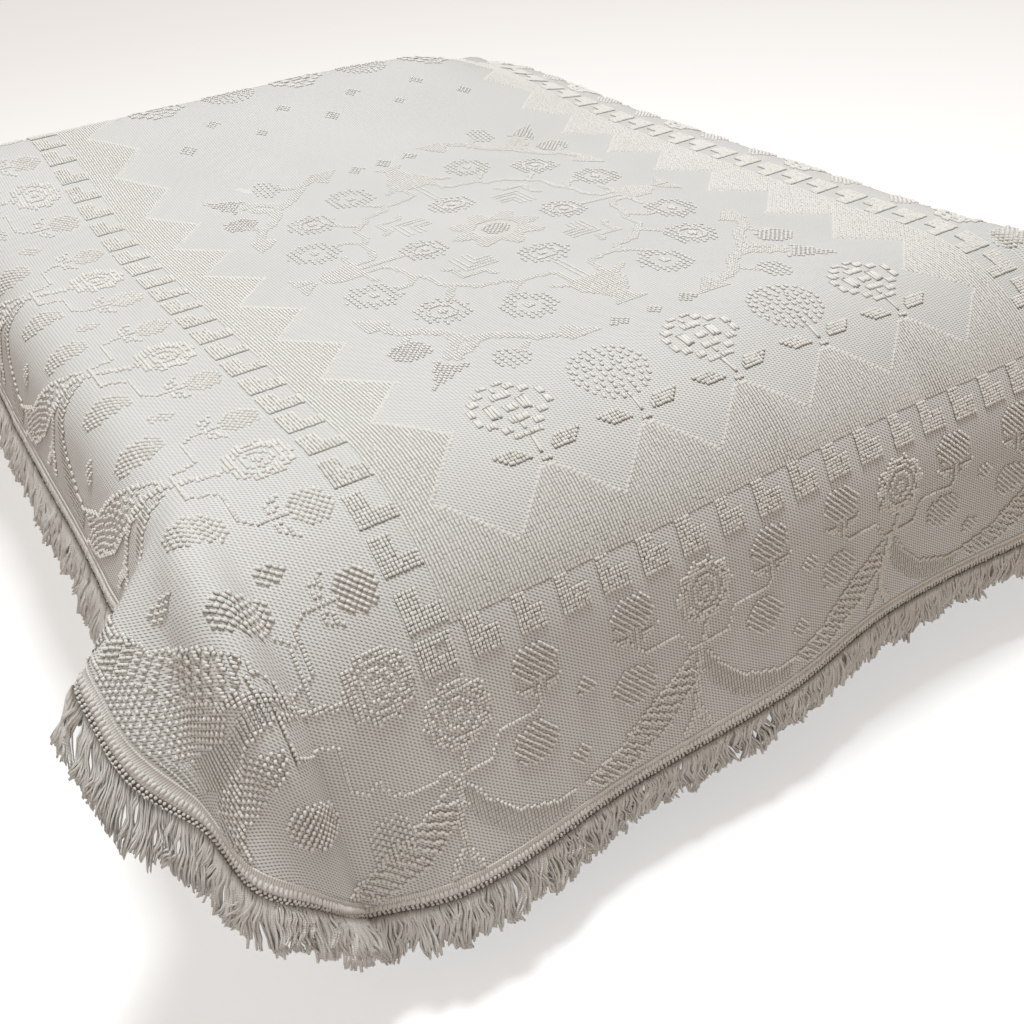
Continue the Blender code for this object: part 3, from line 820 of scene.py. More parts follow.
def laid_grid(points, flat):
    """A grid of faces at points, with flat as its UV: both are [row, column]."""
    rows, columns = points.shape[0] - 1, points.shape[1] - 1
    bm = bmesh.new()
    bmesh.ops.create_grid(bm, x_segments=columns, y_segments=rows, size=1)
    layer = bm.loops.layers.uv.new("flat")
    for vertex in bm.verts:
        column = round((vertex.co.x + 1) / 2 * columns)
        row = round((vertex.co.y + 1) / 2 * rows)
        vertex.co = points[row, column]
        for loop in vertex.link_loops:
            loop[layer].uv = flat[row, column]
    return bm


def shape_arrays(bm):
    """A small bmesh as (points, corner counts, corner indices), for laying out many copies."""
    bm.verts.index_update()
    points = np.array([vertex.co[:] for vertex in bm.verts])
    counts = np.array([len(face.verts) for face in bm.faces])
    corners = np.array([vertex.index for face in bm.faces for vertex in face.verts])
    bm.free()
    return points, counts, corners


def joined_mesh(name, points, counts, corners, flat, rise):
    """One mesh of many copies: points is [copy, point, 3]; flat and rise go into its attributes."""
    copies, size = points.shape[:2]
    mesh = bpy.data.meshes.new(name)
    mesh.vertices.add(copies * size)
    mesh.vertices.foreach_set("co", points.reshape(-1).astype(np.float32))
    every = (corners[None] + np.arange(copies)[:, None] * size).reshape(-1)
    mesh.loops.add(len(every))
    mesh.loops.foreach_set("vertex_index", every.astype(np.int32))
    totals = np.tile(counts, copies)
    mesh.polygons.add(len(totals))
    starts = np.concatenate([[0], np.cumsum(totals)[:-1]])
    mesh.polygons.foreach_set("loop_start", starts.astype(np.int32))
    mesh.update(calc_edges=True)
    mesh.validate()
    layer = mesh.uv_layers.new(name="flat")
    layer.data.foreach_set("uv", flat.reshape(-1, 2)[every].reshape(-1).astype(np.float32))
    shade = mesh.attributes.new("rise", "FLOAT", "POINT")
    shade.data.foreach_set("value", rise.reshape(-1).astype(np.float32))
    return mesh


def open_below(bm):
    """The arrays of a bobble that is open at its foot, with its faces outward."""
    bmesh.ops.recalc_face_normals(bm, faces=bm.faces)
    if sum(face.normal.z for face in bm.faces) < 0:
        bmesh.ops.reverse_faces(bm, faces=bm.faces)
    return shape_arrays(bm)


def low_tuft():
    """A low four-sided bobble of radius 1.22 at its foot and height 1."""
    bm = bmesh.new()
    bmesh.ops.create_cone(bm, segments=4, radius1=1.22, radius2=0, depth=1)
    bmesh.ops.translate(bm, vec=(0, 0, 0.5), verts=bm.verts)
    return open_below(bm)


def full_tuft():
    """A plump four-sided bobble, about radius 1 and height 1, whose foot spreads over the cloth."""
    bm = bmesh.new()
    bmesh.ops.create_circle(bm, segments=4, radius=1.22)
    lifted = bmesh.ops.extrude_edge_only(bm, edges=bm.edges[:])["geom"]
    rim = [item for item in lifted if isinstance(item, bmesh.types.BMVert)]
    edges = [item for item in lifted if isinstance(item, bmesh.types.BMEdge)]
    bmesh.ops.scale(bm, vec=(0.66, 0.66, 1), verts=rim)
    bmesh.ops.translate(bm, vec=(0, 0, 0.70), verts=rim)
    cap = bmesh.ops.contextual_create(bm, geom=edges)
    middle = bmesh.ops.poke(bm, faces=cap["faces"])["verts"]
    bmesh.ops.translate(bm, vec=(0, 0, 0.30), verts=middle)
    return open_below(bm)


# Bobbles stand clear of the hem, sink a little into the cloth, and vary in place, size and turn
HEM_CLEARANCE = 0.006
BOBBLE_SINK = 0.0003
BOBBLE_JOG, BOBBLE_GROWTH, BOBBLE_TURN = 0.05, 0.07, 0.06


def bobbles(name, spots, radius, height, tuft, material, slant=0.0):
    """Bobbles at a mask's crossings, or ribs at (u, v, half length) rows. radius is in threads
    (across, along), or for ribs (threads across, share of the half length)."""
    pitch = REPEAT / THREADS_ACROSS
    if spots.dtype == bool:
        u, v, half = U[spots], V[spots], np.full(spots.sum(), radius[1] * pitch)
    else:
        u, v, half = spots[:, 0], spots[:, 1], spots[:, 2] * REPEAT * radius[1]
    x, y = u * REPEAT + DESIGN_X, v * REPEAT + DESIGN_Y
    inside = hem_distance(x, y) > HEM_CLEARANCE
    x, y, half = x[inside], y[inside], half[inside]
    rng = np.random.default_rng(len(x))
    x = x + rng.normal(0, BOBBLE_JOG * pitch, len(x))
    y = y + rng.normal(0, BOBBLE_JOG * pitch, len(y))
    grow = 1 + rng.normal(0, BOBBLE_GROWTH, (len(x), 3))
    points, across, along, outward = lay(x, y, CLOTH_THICKNESS / 2 - BOBBLE_SINK)
    shape, counts, corners = tuft()
    # a square foot, its sides along the threads
    foot = (shape[:, :2] @ np.array([[1, 1], [-1, 1]])) / math.sqrt(2)
    turn = slant + rng.normal(0, BOBBLE_TURN, len(x))
    side = across * np.cos(turn)[:, None] + along * np.sin(turn)[:, None]
    up = along * np.cos(turn)[:, None] - across * np.sin(turn)[:, None]
    placed = (
        points[:, None]
        + foot[None, :, :1] * (side * (radius[0] * pitch * grow[:, :1]))[:, None]
        + foot[None, :, 1:2] * (up * (half[:, None] * grow[:, 1:2]))[:, None]
        + shape[None, :, 2:] * (outward * (height * grow[:, 2:]))[:, None]
    )
    flat = np.stack([x, y], -1)[:, None] + foot[None] * pitch / 2
    # rise is the height on the bobble; its cotton turns the low part into painted shade
    rise = np.tile(shape[:, 2], (len(x), 1))
    return new_piece(name, joined_mesh(name, placed, counts, corners, flat, rise), material)


CLOTH_COLUMNS, CLOTH_ROWS = 156, 212
# The hang of the cloth: 0 on the top, 1 once it is this far down. It deepens the painted shade in
# the dimples of the ground
HANG_START, HANG_DEPTH = 0.02, 0.16


def build_cloth(material):
    """The woven sheet: a fine flat grid carried onto the bed, then given its thickness."""
    lines_x = np.linspace(-REACH["left"], REACH["right"], CLOTH_COLUMNS + 1)
    lines_y = np.linspace(-REACH["foot"], REACH["head"], CLOTH_ROWS + 1)
    x, y = round_corner(*np.meshgrid(lines_x, lines_y))
    mesh = mesh_of("bedspread_cloth", laid_grid(lay(x, y)[0], np.stack([x, y], -1)))
    points = np.empty(len(mesh.vertices) * 3, np.float32)
    mesh.vertices.foreach_get("co", points)
    hang = (CLOTH_TOP + HANG_START - points.reshape(-1, 3)[:, 2]) / HANG_DEPTH
    layer = mesh.attributes.new("hang", "FLOAT", "POINT")
    layer.data.foreach_set("value", np.clip(hang, 0, 1))
    piece = new_piece("bedspread_cloth", mesh, material)
    shell = piece.modifiers.new("thickness", "SOLIDIFY")
    shell.thickness = CLOTH_THICKNESS
    shell.offset = 0
    return piece


# ---------------------------------------------------------------- the fringe

# Metres: the yarns' length, the knots' spacing, how far short of the head the fringe ends, and
# where the yarns hang from, out from the hem
YARN_LENGTH = 0.064
KNOT_PITCH = 0.0058
FRINGE_STOP = 0.06
YARN_ROOT = 0.0222
YARNS = 7  # to a knot
TAPE_STEP = 0.008
# The tape and the cord along its edge, as a closed outline of (out from the hem, lift). Its outer
# part runs under the knots and is painted dark there as shade
TAPE_OUTLINE = (
    (-0.0014, 0.0016), (-0.0007, 0.0029), (0.0003, 0.0029), (0.0010, 0.0014), (0.0070, 0.0012),
    (0.0215, 0.0004), (0.0215, -0.0010), (0.0014, -0.0014), (-0.0014, -0.0016), (-0.0014, 0.0016),
)
HEADING_ROWS = (
    # the ribs and the two rows of knots: out, shift along in knots, half size (along, away,
    # outward), lift
    (0.0108, 0.0, (0.0029, 0.0058, 0.0032), 0.0012),
    (0.0180, 0.5, (0.0023, 0.0024, 0.0023), 0.0006),
    (0.0216, 0.0, (0.0026, 0.0023, 0.0024), 0.0002),
)
STRAND_STEPS = (0.13, 0.16, 0.18, 0.18, 0.18, 0.17)


def hem_line(step=0.002):
    """Flat points along the hem from near the left head corner round the foot to the right."""
    radius_x, radius_y = FOOT_CORNER
    left, right, foot = REACH["left"], REACH["right"], REACH["foot"]
    top = REACH["head"] - FRINGE_STOP
    turn = np.linspace(0, math.pi / 2, 60)
    cos, sin = 1 - np.cos(turn), 1 - np.sin(turn)
    corner_left = np.stack([-left + radius_x * cos, -foot + radius_y * sin], -1)
    corner_right = np.stack([right - radius_x * sin, -foot + radius_y * cos], -1)
    points = np.concatenate([[(-left, top)], corner_left, corner_right, [(right, top)]])
    length = np.concatenate([[0], np.cumsum(np.linalg.norm(np.diff(points, axis=0), axis=1))])
    even = np.linspace(0, length[-1], int(length[-1] / step))
    return np.stack([np.interp(even, length, points[:, i]) for i in (0, 1)], -1)


def hem_stations(pitch, out):
    """Evenly spaced places along the draped hem, out from it: (x, y, outward x, outward y)."""
    line = hem_line()
    along = unit(np.gradient(line, axis=0))
    outward = np.stack([along[:, 1], -along[:, 0]], -1)
    spot = line + outward * out
    placed = drape(spot[:, 0], spot[:, 1])
    length = np.concatenate([[0], np.cumsum(np.linalg.norm(np.diff(placed, axis=0), axis=1))])
    even = np.linspace(0, length[-1], int(length[-1] / pitch))
    return np.stack([np.interp(even, length, column) for column in (*line.T, *outward.T)], -1)


def hem_frames(stations, out):
    """(points, along, away, outward): the hem's frame at stations, a distance out from the hem."""
    x = stations[:, 0] + stations[:, 2] * out
    y = stations[:, 1] + stations[:, 3] * out
    points, _, _, outward = lay(x, y)
    step = 0.002
    further = drape(x + stations[:, 2] * step, y + stations[:, 3] * step)
    nearer = drape(x - stations[:, 2] * step, y - stations[:, 3] * step)
    away = unit(further - nearer)
    return points, unit(np.cross(away, outward)), away, outward


def build_heading(material):
    """The fringe's woven heading, ribs and two rows of knots, as one mesh."""
    bm = bmesh.new()
    bmesh.ops.create_icosphere(bm, subdivisions=1, radius=1)
    shape, counts, corners = shape_arrays(bm)
    parts = []
    rng = np.random.default_rng(5)
    for out, shift, size, lift in HEADING_ROWS:
        stations = hem_stations(KNOT_PITCH, out)
        stations = stations[:-1] + (stations[1:] - stations[:-1]) * shift
        points, *axes = hem_frames(stations, out)
        placed = (points + axes[2] * lift + rng.normal(0, 0.0003, (len(points), 3)))[:, None]
        placed = placed.repeat(len(shape), 1)
        for axis, direction in enumerate(axes):
            placed = placed + shape[None, :, axis : axis + 1] * size[axis] * direction[:, None]
        away = out + shape[None, :, 1:2] * size[1]
        flat = stations[:, None, :2] + stations[:, None, 2:] * away
        # rise runs from the knots' cloth side outward; the yarn cotton turns its low part into
        # painted shade
        rise = np.tile(shape[:, 2] * 0.5 + 0.5, (len(points), 1))
        parts.append((placed, flat, rise))
    placed, flat, rise = (np.concatenate(part) for part in zip(*parts))
    mesh = joined_mesh("fringe_heading", placed, counts, corners, flat, rise)
    return new_piece("fringe_heading", mesh, material)


def build_tape(material):
    """The flat tape between the hem and the ribs, with the cord along its edge."""
    stations = hem_stations(TAPE_STEP, 0)
    rings = []
    for out, lift in TAPE_OUTLINE:
        points, _, _, outward = hem_frames(stations, out)
        rings.append(points + outward * lift)
    run = np.arange(len(stations)) * TAPE_STEP
    flat = np.stack(np.meshgrid(run, [out for out, _ in TAPE_OUTLINE]), -1)
    bm = laid_grid(np.stack(rings), flat)
    bmesh.ops.remove_doubles(bm, verts=bm.verts, dist=1e-6)
    bmesh.ops.holes_fill(bm, edges=[edge for edge in bm.edges if edge.is_boundary])
    bmesh.ops.recalc_face_normals(bm, faces=bm.faces)
    return new_piece("fringe_tape", mesh_of("fringe_tape", bm), material)


def strand():
    """A three-sided yarn of length 1 up +Z, closed at its end."""
    bm = bmesh.new()
    bmesh.ops.create_circle(bm, segments=3, radius=1)
    edge = bm.edges[:]
    for length in STRAND_STEPS:
        lifted = bmesh.ops.extrude_edge_only(bm, edges=edge)["geom"]
        moved = [item for item in lifted if isinstance(item, bmesh.types.BMVert)]
        bmesh.ops.translate(bm, vec=(0, 0, length), verts=moved)
        edge = [item for item in lifted if isinstance(item, bmesh.types.BMEdge)]
    bmesh.ops.contextual_create(bm, geom=edge)
    bmesh.ops.recalc_face_normals(bm, faces=bm.faces)
    return shape_arrays(bm)


def smooth_noise(rng, count, reach):
    """Uneven values that drift slowly along the fringe, about 1 in size."""
    kernel = np.hanning(reach * 2 + 3)
    noise = rng.normal(0, 1, count + 4 * reach)
    values = np.convolve(noise, kernel / np.linalg.norm(kernel), "same")
    return values[2 * reach : 2 * reach + count]


def build_tassels(name, material, side):
    """Loose yarns hanging from the knots, drawn together in wavy locks that part from each other.
    All the arrays are [knot, point of the yarn]."""
    shape, counts, corners = strand()
    t = shape[:, 2]
    stations = hem_stations(KNOT_PITCH, YARN_ROOT)
    half = len(stations) // 2
    stations = stations[:half] if side < 0 else stations[half:]
    points, along, away, outward = hem_frames(stations, YARN_ROOT)
    count = len(points)
    rng = np.random.default_rng(11 + side)

    # A lock is the yarns of a few neighbouring knots
    place = np.arange(count) * KNOT_PITCH
    ends = np.cumsum(rng.uniform(0.008, 0.018, count))
    lock = np.searchsorted(ends, place)
    middle = np.array([place[lock == number].mean() for number in lock])

    def each(size):
        return rng.normal(0, size, count)[:, None]

    def each_between(low, high):
        return rng.uniform(low, high, count)[:, None]

    def per_lock(size):
        return rng.normal(0, size, len(ends))[lock, None]

    def per_lock_between(low, high):
        return rng.uniform(low, high, len(ends))[lock, None]

    draw = (middle - place)[:, None] * per_lock_between(0.45, 0.85)
    lock_sway = per_lock(0.0040) + each(0.0015)
    lock_bend = per_lock(0.0035) + each(0.0015)
    lock_puff = per_lock(0.0035)
    lock_phase = per_lock_between(0, 6.28) + each(0.5)
    lock_turns = per_lock_between(4.5, 9.0) + each(0.4)
    lock_wave = per_lock_between(0.0022, 0.0056) * each_between(0.7, 1.3)
    drift = 0.04 * smooth_noise(rng, count, 4)[:, None]
    long = YARN_LENGTH * (0.98 + drift + per_lock(0.06))
    # shorter along the foot, and flared at the left foot corner
    long = long * (1 - 0.12 * ease_between(stations[:, :1], -0.45, -0.05))
    flare = 0.03 + 0.22 * (1 - ease_between(stations[:, :1], -0.62, -0.25))
    flare = flare * (1 - 0.5 * ease_between(stations[:, 1:2], 0.2, 0.9))
    down = unit(away * 0.32 + np.array([0, 0, -0.68]) + outward * (flare + 0.02))

    belly = np.sin(math.pi * np.clip(t, 0, 1))[None]
    off_root = np.minimum(t * 3, 1)
    placed, flats, rises = [], [], []
    for yarn in range(YARNS):
        turn = yarn * 2.4 + each(0.3)
        spread = 0.0034 * math.sqrt((yarn + 0.5) / YARNS)
        root_along, root_out = spread * np.cos(turn), spread * np.sin(turn) * 0.8
        length = long * (1 + each(0.045))
        wave = each_between(0.0005, 0.0016)
        phase, turns = each_between(0, 6.28), each_between(5.0, 9.0)
        ripple = turns * t + phase
        curl = lock_turns * t + lock_phase + each(0.35)
        curl_size = lock_wave * np.minimum(t * 2.5, 1)
        go_along = (
            root_along * (1 + 0.8 * belly)
            + draw * t**1.6
            + (lock_sway + each(0.0016)) * t**2
            + lock_bend * belly
            + wave * np.sin(ripple) * off_root
            + curl_size * np.sin(curl)
        )
        go_out = (
            root_out * (1 + 0.9 * belly)
            + (lock_puff + each(0.0016)) * t**1.5
            + wave * np.cos(ripple) * off_root
            + 0.6 * curl_size * np.cos(curl)
        )
        thick = each_between(0.0019, 0.0026) * (1 - 0.15 * t**6)
        go_along = go_along + shape[None, :, 0] * thick
        go_out = go_out + shape[None, :, 1] * thick
        centre = points[:, None] + down[:, None] * (length * t)[..., None]
        centre = centre + along[:, None] * go_along[..., None]
        centre = centre + outward[:, None] * go_out[..., None]
        placed.append(centre)
        flats.append(np.stack([np.broadcast_to(phase, go_out.shape), length * t], -1))
        # rise runs along the yarn; the yarn cotton turns its first part into painted shade at the
        # root
        rises.append(np.broadcast_to(t, go_out.shape))
    placed, flat, rise = (np.concatenate(part) for part in (placed, flats, rises))
    return new_piece(name, joined_mesh(name, placed, counts, corners, flat, rise), material)


# ---------------------------------------------------------------- materials


def new_group(name, inputs, outputs):
    """(group, input node, output node) of an empty shader group with named sockets."""
    group = bpy.data.node_groups.new(name, "ShaderNodeTree")
    for label, kind, default in inputs:
        socket = group.interface.new_socket(name=label, in_out="INPUT", socket_type=kind)
        if default is not None:
            socket.default_value = default
    for label, kind in outputs:
        group.interface.new_socket(name=label, in_out="OUTPUT", socket_type=kind)
    return group, group.nodes.new("NodeGroupInput"), group.nodes.new("NodeGroupOutput")


def feed(tree, socket, value):
    """Gives a socket a plain value, or links one to it."""
    if isinstance(value, (int, float)):
        socket.default_value = value
    else:
        tree.links.new(value, socket)


def math_node(tree, operation, *values, clamp=False):
    node = tree.nodes.new("ShaderNodeMath")
    node.operation = operation
    node.use_clamp = clamp
    for socket, value in zip(node.inputs, values):
        feed(tree, socket, value)
    return node.outputs[0]


def split_flat(tree, vector):
    """The two parts of a flat coordinate."""
    split = tree.nodes.new("ShaderNodeSeparateXYZ")
    tree.links.new(vector, split.inputs[0])
    return split.outputs["X"], split.outputs["Y"]


def noise_value(tree, vector, scale, detail=2.0):
    node = tree.nodes.new("ShaderNodeTexNoise")
    feed(tree, node.inputs["Scale"], scale)
    feed(tree, node.inputs["Detail"], detail)
    tree.links.new(vector, node.inputs["Vector"])
    return node.outputs["Fac"]


def make_weave_group():
    """Ribbed ground weave: height and dimple mask from flat cloth coordinates."""
    lean, dimple_across, dimple_along, rib_depth, dimple_depth = 0.76, 2.3, 3.1, 0.5, 0.8
    group, given, result = new_group(
        "ribbed_weave",
        (
            ("Flat", "NodeSocketVector", None),
            ("Rib", "NodeSocketFloat", 0.0051),
            ("Row", "NodeSocketFloat", 0.0054),
        ),
        (("Height", "NodeSocketFloat"), ("Dimple", "NodeSocketFloat")),
    )
    do = partial(math_node, group)
    x, y = split_flat(group, given.outputs["Flat"])
    across = do("DIVIDE", x, given.outputs["Rib"])
    part = do("SUBTRACT", do("FRACT", across), 0.5)
    along = do("DIVIDE", y, given.outputs["Row"])
    along = do("ADD", along, do("MULTIPLY", do("FLOOR", across), lean))
    step = do("SUBTRACT", do("FRACT", along), 0.5)
    wide = do("MULTIPLY", do("ADD", step, do("MULTIPLY", part, lean)), dimple_along)
    tall = do("MULTIPLY", part, dimple_across)
    square = do("ADD", do("MULTIPLY", wide, wide), do("MULTIPLY", tall, tall))
    dimple = do("SUBTRACT", 1.0, square, clamp=True)
    rib = do("SUBTRACT", 1.0, do("MULTIPLY", do("ABSOLUTE", part), rib_depth))
    height = do("SUBTRACT", rib, do("MULTIPLY", dimple, dimple_depth))
    group.links.new(height, result.inputs["Height"])
    group.links.new(dimple, result.inputs["Dimple"])
    return group


def make_mottle_group():
    """Slow and fine unevenness of washed cotton, as a value about 0.5."""
    group, given, result = new_group(
        "washed_mottle",
        (
            ("Place", "NodeSocketVector", None),
            ("Broad", "NodeSocketFloat", 3.0),
            ("Fine", "NodeSocketFloat", 60.0),
        ),
        (("Value", "NodeSocketFloat"),),
    )
    broad, fine = (
        noise_value(group, given.outputs["Place"], given.outputs[label])
        for label in ("Broad", "Fine")
    )
    value = math_node(group, "MULTIPLY", math_node(group, "ADD", broad, fine), 0.5)
    group.links.new(value, result.inputs["Value"])
    return group


def place_group(tree, group, values):
    """A group's node with its inputs fed."""
    node = tree.nodes.new("ShaderNodeGroup")
    node.node_tree = group
    for label, value in values.items():
        feed(tree, node.inputs[label], value)
    return node


def blank_material(name, roughness, sheen=0.15):
    """A cotton shader to be given its colour and bump."""
    material = bpy.data.materials.new(name)
    material.use_nodes = True
    shader = material.node_tree.nodes["Principled BSDF"]
    shader.inputs["Roughness"].default_value = roughness
    shader.inputs["Sheen Weight"].default_value = sheen
    shader.inputs["Sheen Roughness"].default_value = 0.6
    shader.inputs["Specular IOR Level"].default_value = 0.25
    return material, material.node_tree, shader


WHITE = (1, 1, 1)


def ramp(tree, factor, *stops):
    """A colour that runs through (place, colour) stops."""
    node = tree.nodes.new("ShaderNodeValToRGB")
    for element, (place, colour) in zip(node.color_ramp.elements, stops):
        element.position = place
        element.color = (*colour, 1)
    tree.links.new(factor, node.inputs["Fac"])
    return node.outputs["Color"]


def multiply_colour(tree, first, second, amount=1.0):
    node = tree.nodes.new("ShaderNodeMix")
    node.data_type = "RGBA"
    node.blend_type = "MULTIPLY"
    feed(tree, node.inputs["Factor"], amount)
    tree.links.new(first, node.inputs["A"])
    tree.links.new(second, node.inputs["B"])
    return node.outputs["Result"]


def add_bump(tree, shader, height, strength, distance):
    bump = tree.nodes.new("ShaderNodeBump")
    bump.inputs["Strength"].default_value = strength
    bump.inputs["Distance"].default_value = distance
    tree.links.new(height, bump.inputs["Height"])
    tree.links.new(bump.outputs["Normal"], shader.inputs["Normal"])


def flat_vector(tree):
    """Where a point lies on the flat cloth, or along and across the fringe."""
    node = tree.nodes.new("ShaderNodeUVMap")
    node.uv_map = "flat"
    return node.outputs["UV"]


def object_vector(tree):
    return tree.nodes.new("ShaderNodeTexCoord").outputs["Object"]


def point_value(tree, name):
    """A mesh's own value at its points."""
    node = tree.nodes.new("ShaderNodeAttribute")
    node.attribute_name = name
    return node.outputs["Fac"]


def mottled(tree, mottle, place, broad, fine):
    node = place_group(tree, mottle, {"Place": place, "Broad": broad, "Fine": fine})
    return node.outputs["Value"]


def woven_ground(weave, mottle):
    """The cloth's ground: off-white, with painted shade in its dimples that is deeper where the
    cloth hangs.
    """
    material, tree, shader = blank_material("woven_ground", 0.9)
    flat = flat_vector(tree)
    rib, row = REPEAT / THREADS_ACROSS, REPEAT / 33
    woven = place_group(tree, weave, {"Flat": flat, "Rib": rib, "Row": row})
    tone = mottled(tree, mottle, flat, 4.0, 220.0)
    base = ramp(tree, tone, (0.30, (0.785, 0.795, 0.782)), (0.70, (0.865, 0.874, 0.863)))
    # painted shade: the dimples are darkened as if shaded, fully on the hanging parts and half as
    # much on the top
    shade = ramp(tree, woven.outputs["Dimple"], (0.0, WHITE), (0.85, (0.46, 0.415, 0.35)))
    hang_shade_amount = math_node(tree, "MULTIPLY_ADD", point_value(tree, "hang"), 0.50, 0.50)
    tree.links.new(multiply_colour(tree, base, shade, hang_shade_amount), shader.inputs["Base Color"])
    add_bump(tree, shader, woven.outputs["Height"], 0.9, 0.0011)
    return material


def bobble_cotton(name, mottle, low, high, top=0.6):
    """A bobble's cotton: low is painted shade at its foot, in the gaps between bobbles, and high is
    the cotton's colour from the height top on.
    """
    material, tree, shader = blank_material(name, 0.92)
    # painted shade: the colour darkens from the top down to the foot, where neighbours and the
    # cloth would shade it
    colour = ramp(tree, point_value(tree, "rise"), (0.06, low), (top, high))
    tone = mottled(tree, mottle, flat_vector(tree), 5.0, 150.0)
    wash = ramp(tree, tone, (0.30, (0.93, 0.92, 0.90)), (0.70, WHITE))
    tree.links.new(multiply_colour(tree, colour, wash), shader.inputs["Base Color"])
    fuzz = noise_value(tree, object_vector(tree), 900.0, 3.0)
    add_bump(tree, shader, fuzz, 0.35, 0.0006)
    return material


def yarn_cotton(name, low, high, twist, shaded, sheen=0.2):
    """Twisted yarn between two tones, with painted shade in the twist's grooves and painted shade
    at its root, up to the share shaded.
    """
    material, tree, shader = blank_material(name, 0.93, sheen)
    wave = tree.nodes.new("ShaderNodeTexWave")
    wave.wave_type = "BANDS"
    wave.bands_direction = "DIAGONAL"
    wave.inputs["Scale"].default_value = twist
    wave.inputs["Distortion"].default_value = 1.5
    tree.links.new(flat_vector(tree), wave.inputs["Vector"])
    tone = noise_value(tree, object_vector(tree), 45.0, 3.0)
    colour = ramp(tree, tone, (0.30, low), (0.70, high))
    # painted shade in the grooves of the twist, where the bump sinks
    grooves = ramp(tree, wave.outputs["Fac"], (0.0, (0.84, 0.82, 0.79)), (0.6, WHITE))
    # painted shade at the root: dark where rise is low, under the knots and on their cloth side
    root = ramp(tree, point_value(tree, "rise"), (0.0, (0.34, 0.31, 0.27)), (shaded, WHITE))
    colour = multiply_colour(tree, multiply_colour(tree, colour, grooves), root)
    tree.links.new(colour, shader.inputs["Base Color"])
    add_bump(tree, shader, wave.outputs["Fac"], 0.5, 0.0005)
    return material


def tape_cotton(name, low, high):
    """The fringe's tape: fine ribs across it, with painted shade in their grooves and painted shade
    where it lies behind the knots.
    """
    material, tree, shader = blank_material(name, 0.93)
    do = partial(math_node, tree)
    run, out = split_flat(tree, flat_vector(tree))
    ribs = do("FRACT", do("DIVIDE", run, KNOT_PITCH / 2))
    ridge = do("ABSOLUTE", do("SUBTRACT", ribs, 0.5))
    tone = noise_value(tree, object_vector(tree), 60.0, 3.0)
    colour = ramp(tree, tone, (0.30, low), (0.70, high))
    # painted shade in the grooves between the ribs
    groove = ramp(tree, ridge, (0.28, WHITE), (0.5, (0.55, 0.52, 0.47)))
    # painted shade: the tape turns dark past the ribs, where it lies behind and between the knots
    behind = ramp(tree, do("MULTIPLY", out, 50.0), (0.76, WHITE), (0.86, (0.22, 0.20, 0.17)))
    colour = multiply_colour(tree, multiply_colour(tree, colour, groove), behind)
    tree.links.new(colour, shader.inputs["Base Color"])
    add_bump(tree, shader, do("SUBTRACT", 0.5, ridge), 0.8, 0.0008)
    return material


def plain_ticking(name, colour, mottle):
    """Plain woven cloth of the mattress and the bed base."""
    material, tree, shader = blank_material(name, 0.9)
    place = object_vector(tree)
    darker = tuple(channel * 0.92 for channel in colour)
    colour = ramp(tree, mottled(tree, mottle, place, 5.0, 90.0), (0.3, darker), (0.7, colour))
    tree.links.new(colour, shader.inputs["Base Color"])
    add_bump(tree, shader, noise_value(tree, place, 700.0, 2.0), 0.3, 0.0006)
    return material


# ---------------------------------------------------------------- floor, light, camera

# The view: degrees round, above and rolled; its place in repeats from the design's 0, 0 and from
# the cloth's top; and its focal length as a share of the frame's width
VIEW_TURNS = (-28.347, 33.82, -5.8655)
VIEW_PLACE = (-3.174, -7.107, 4.795)
FOCAL_SHARE = 1213.87 / 1024
SENSOR_WIDTH = 36
SHOWN_FLOOR_GLOW = 0.5


def build_floor():
    bm = bmesh.new()
    bmesh.ops.create_grid(bm, x_segments=1, y_segments=1, size=14)
    mesh = mesh_of("floor", bm)
    material = bpy.data.materials.new("floor_white")
    material.use_nodes = True
    tree = material.node_tree
    shader = tree.nodes["Principled BSDF"]
    shader.inputs["Base Color"].default_value = (0.85, 0.84, 0.82, 1)
    shader.inputs["Roughness"].default_value = 0.9
    path = tree.nodes.new("ShaderNodeLightPath")
    seen = math_node(tree, "MULTIPLY", path.outputs["Is Camera Ray"], SHOWN_FLOOR_GLOW)
    tree.links.new(seen, shader.inputs["Emission Strength"])
    shader.inputs["Emission Color"].default_value = (0.95, 0.98, 1, 1)
    mesh.materials.append(material)
    floor = bpy.data.objects.new("floor", mesh)
    bpy.context.scene.collection.objects.link(floor)


def set_down(thing, place, right, up, back):
    """Puts a lamp or camera in the scene, turned to its right, up and back directions."""
    rows = [(*turn, where) for turn, where in zip(zip(right, up, back), place)]
    thing.matrix_world = Matrix((*rows, (0, 0, 0, 1)))
    bpy.context.scene.collection.objects.link(thing)


def add_area(name, place, aim, size, power, spread=180):
    """A square soft light at a place, aimed at another."""
    light = bpy.data.lights.new(name, "AREA")
    light.shape = "RECTANGLE"
    light.size = light.size_y = size
    light.energy = power
    light.color = (0.90, 0.965, 1.0)
    light.spread = math.radians(spread)
    back = unit(np.array(place, float) - np.array(aim, float))
    side = unit(np.cross([0, 1, 0] if abs(back[2]) > 0.99 else [0, 0, 1], back))
    set_down(bpy.data.objects.new(name, light), place, side, np.cross(back, side), back)


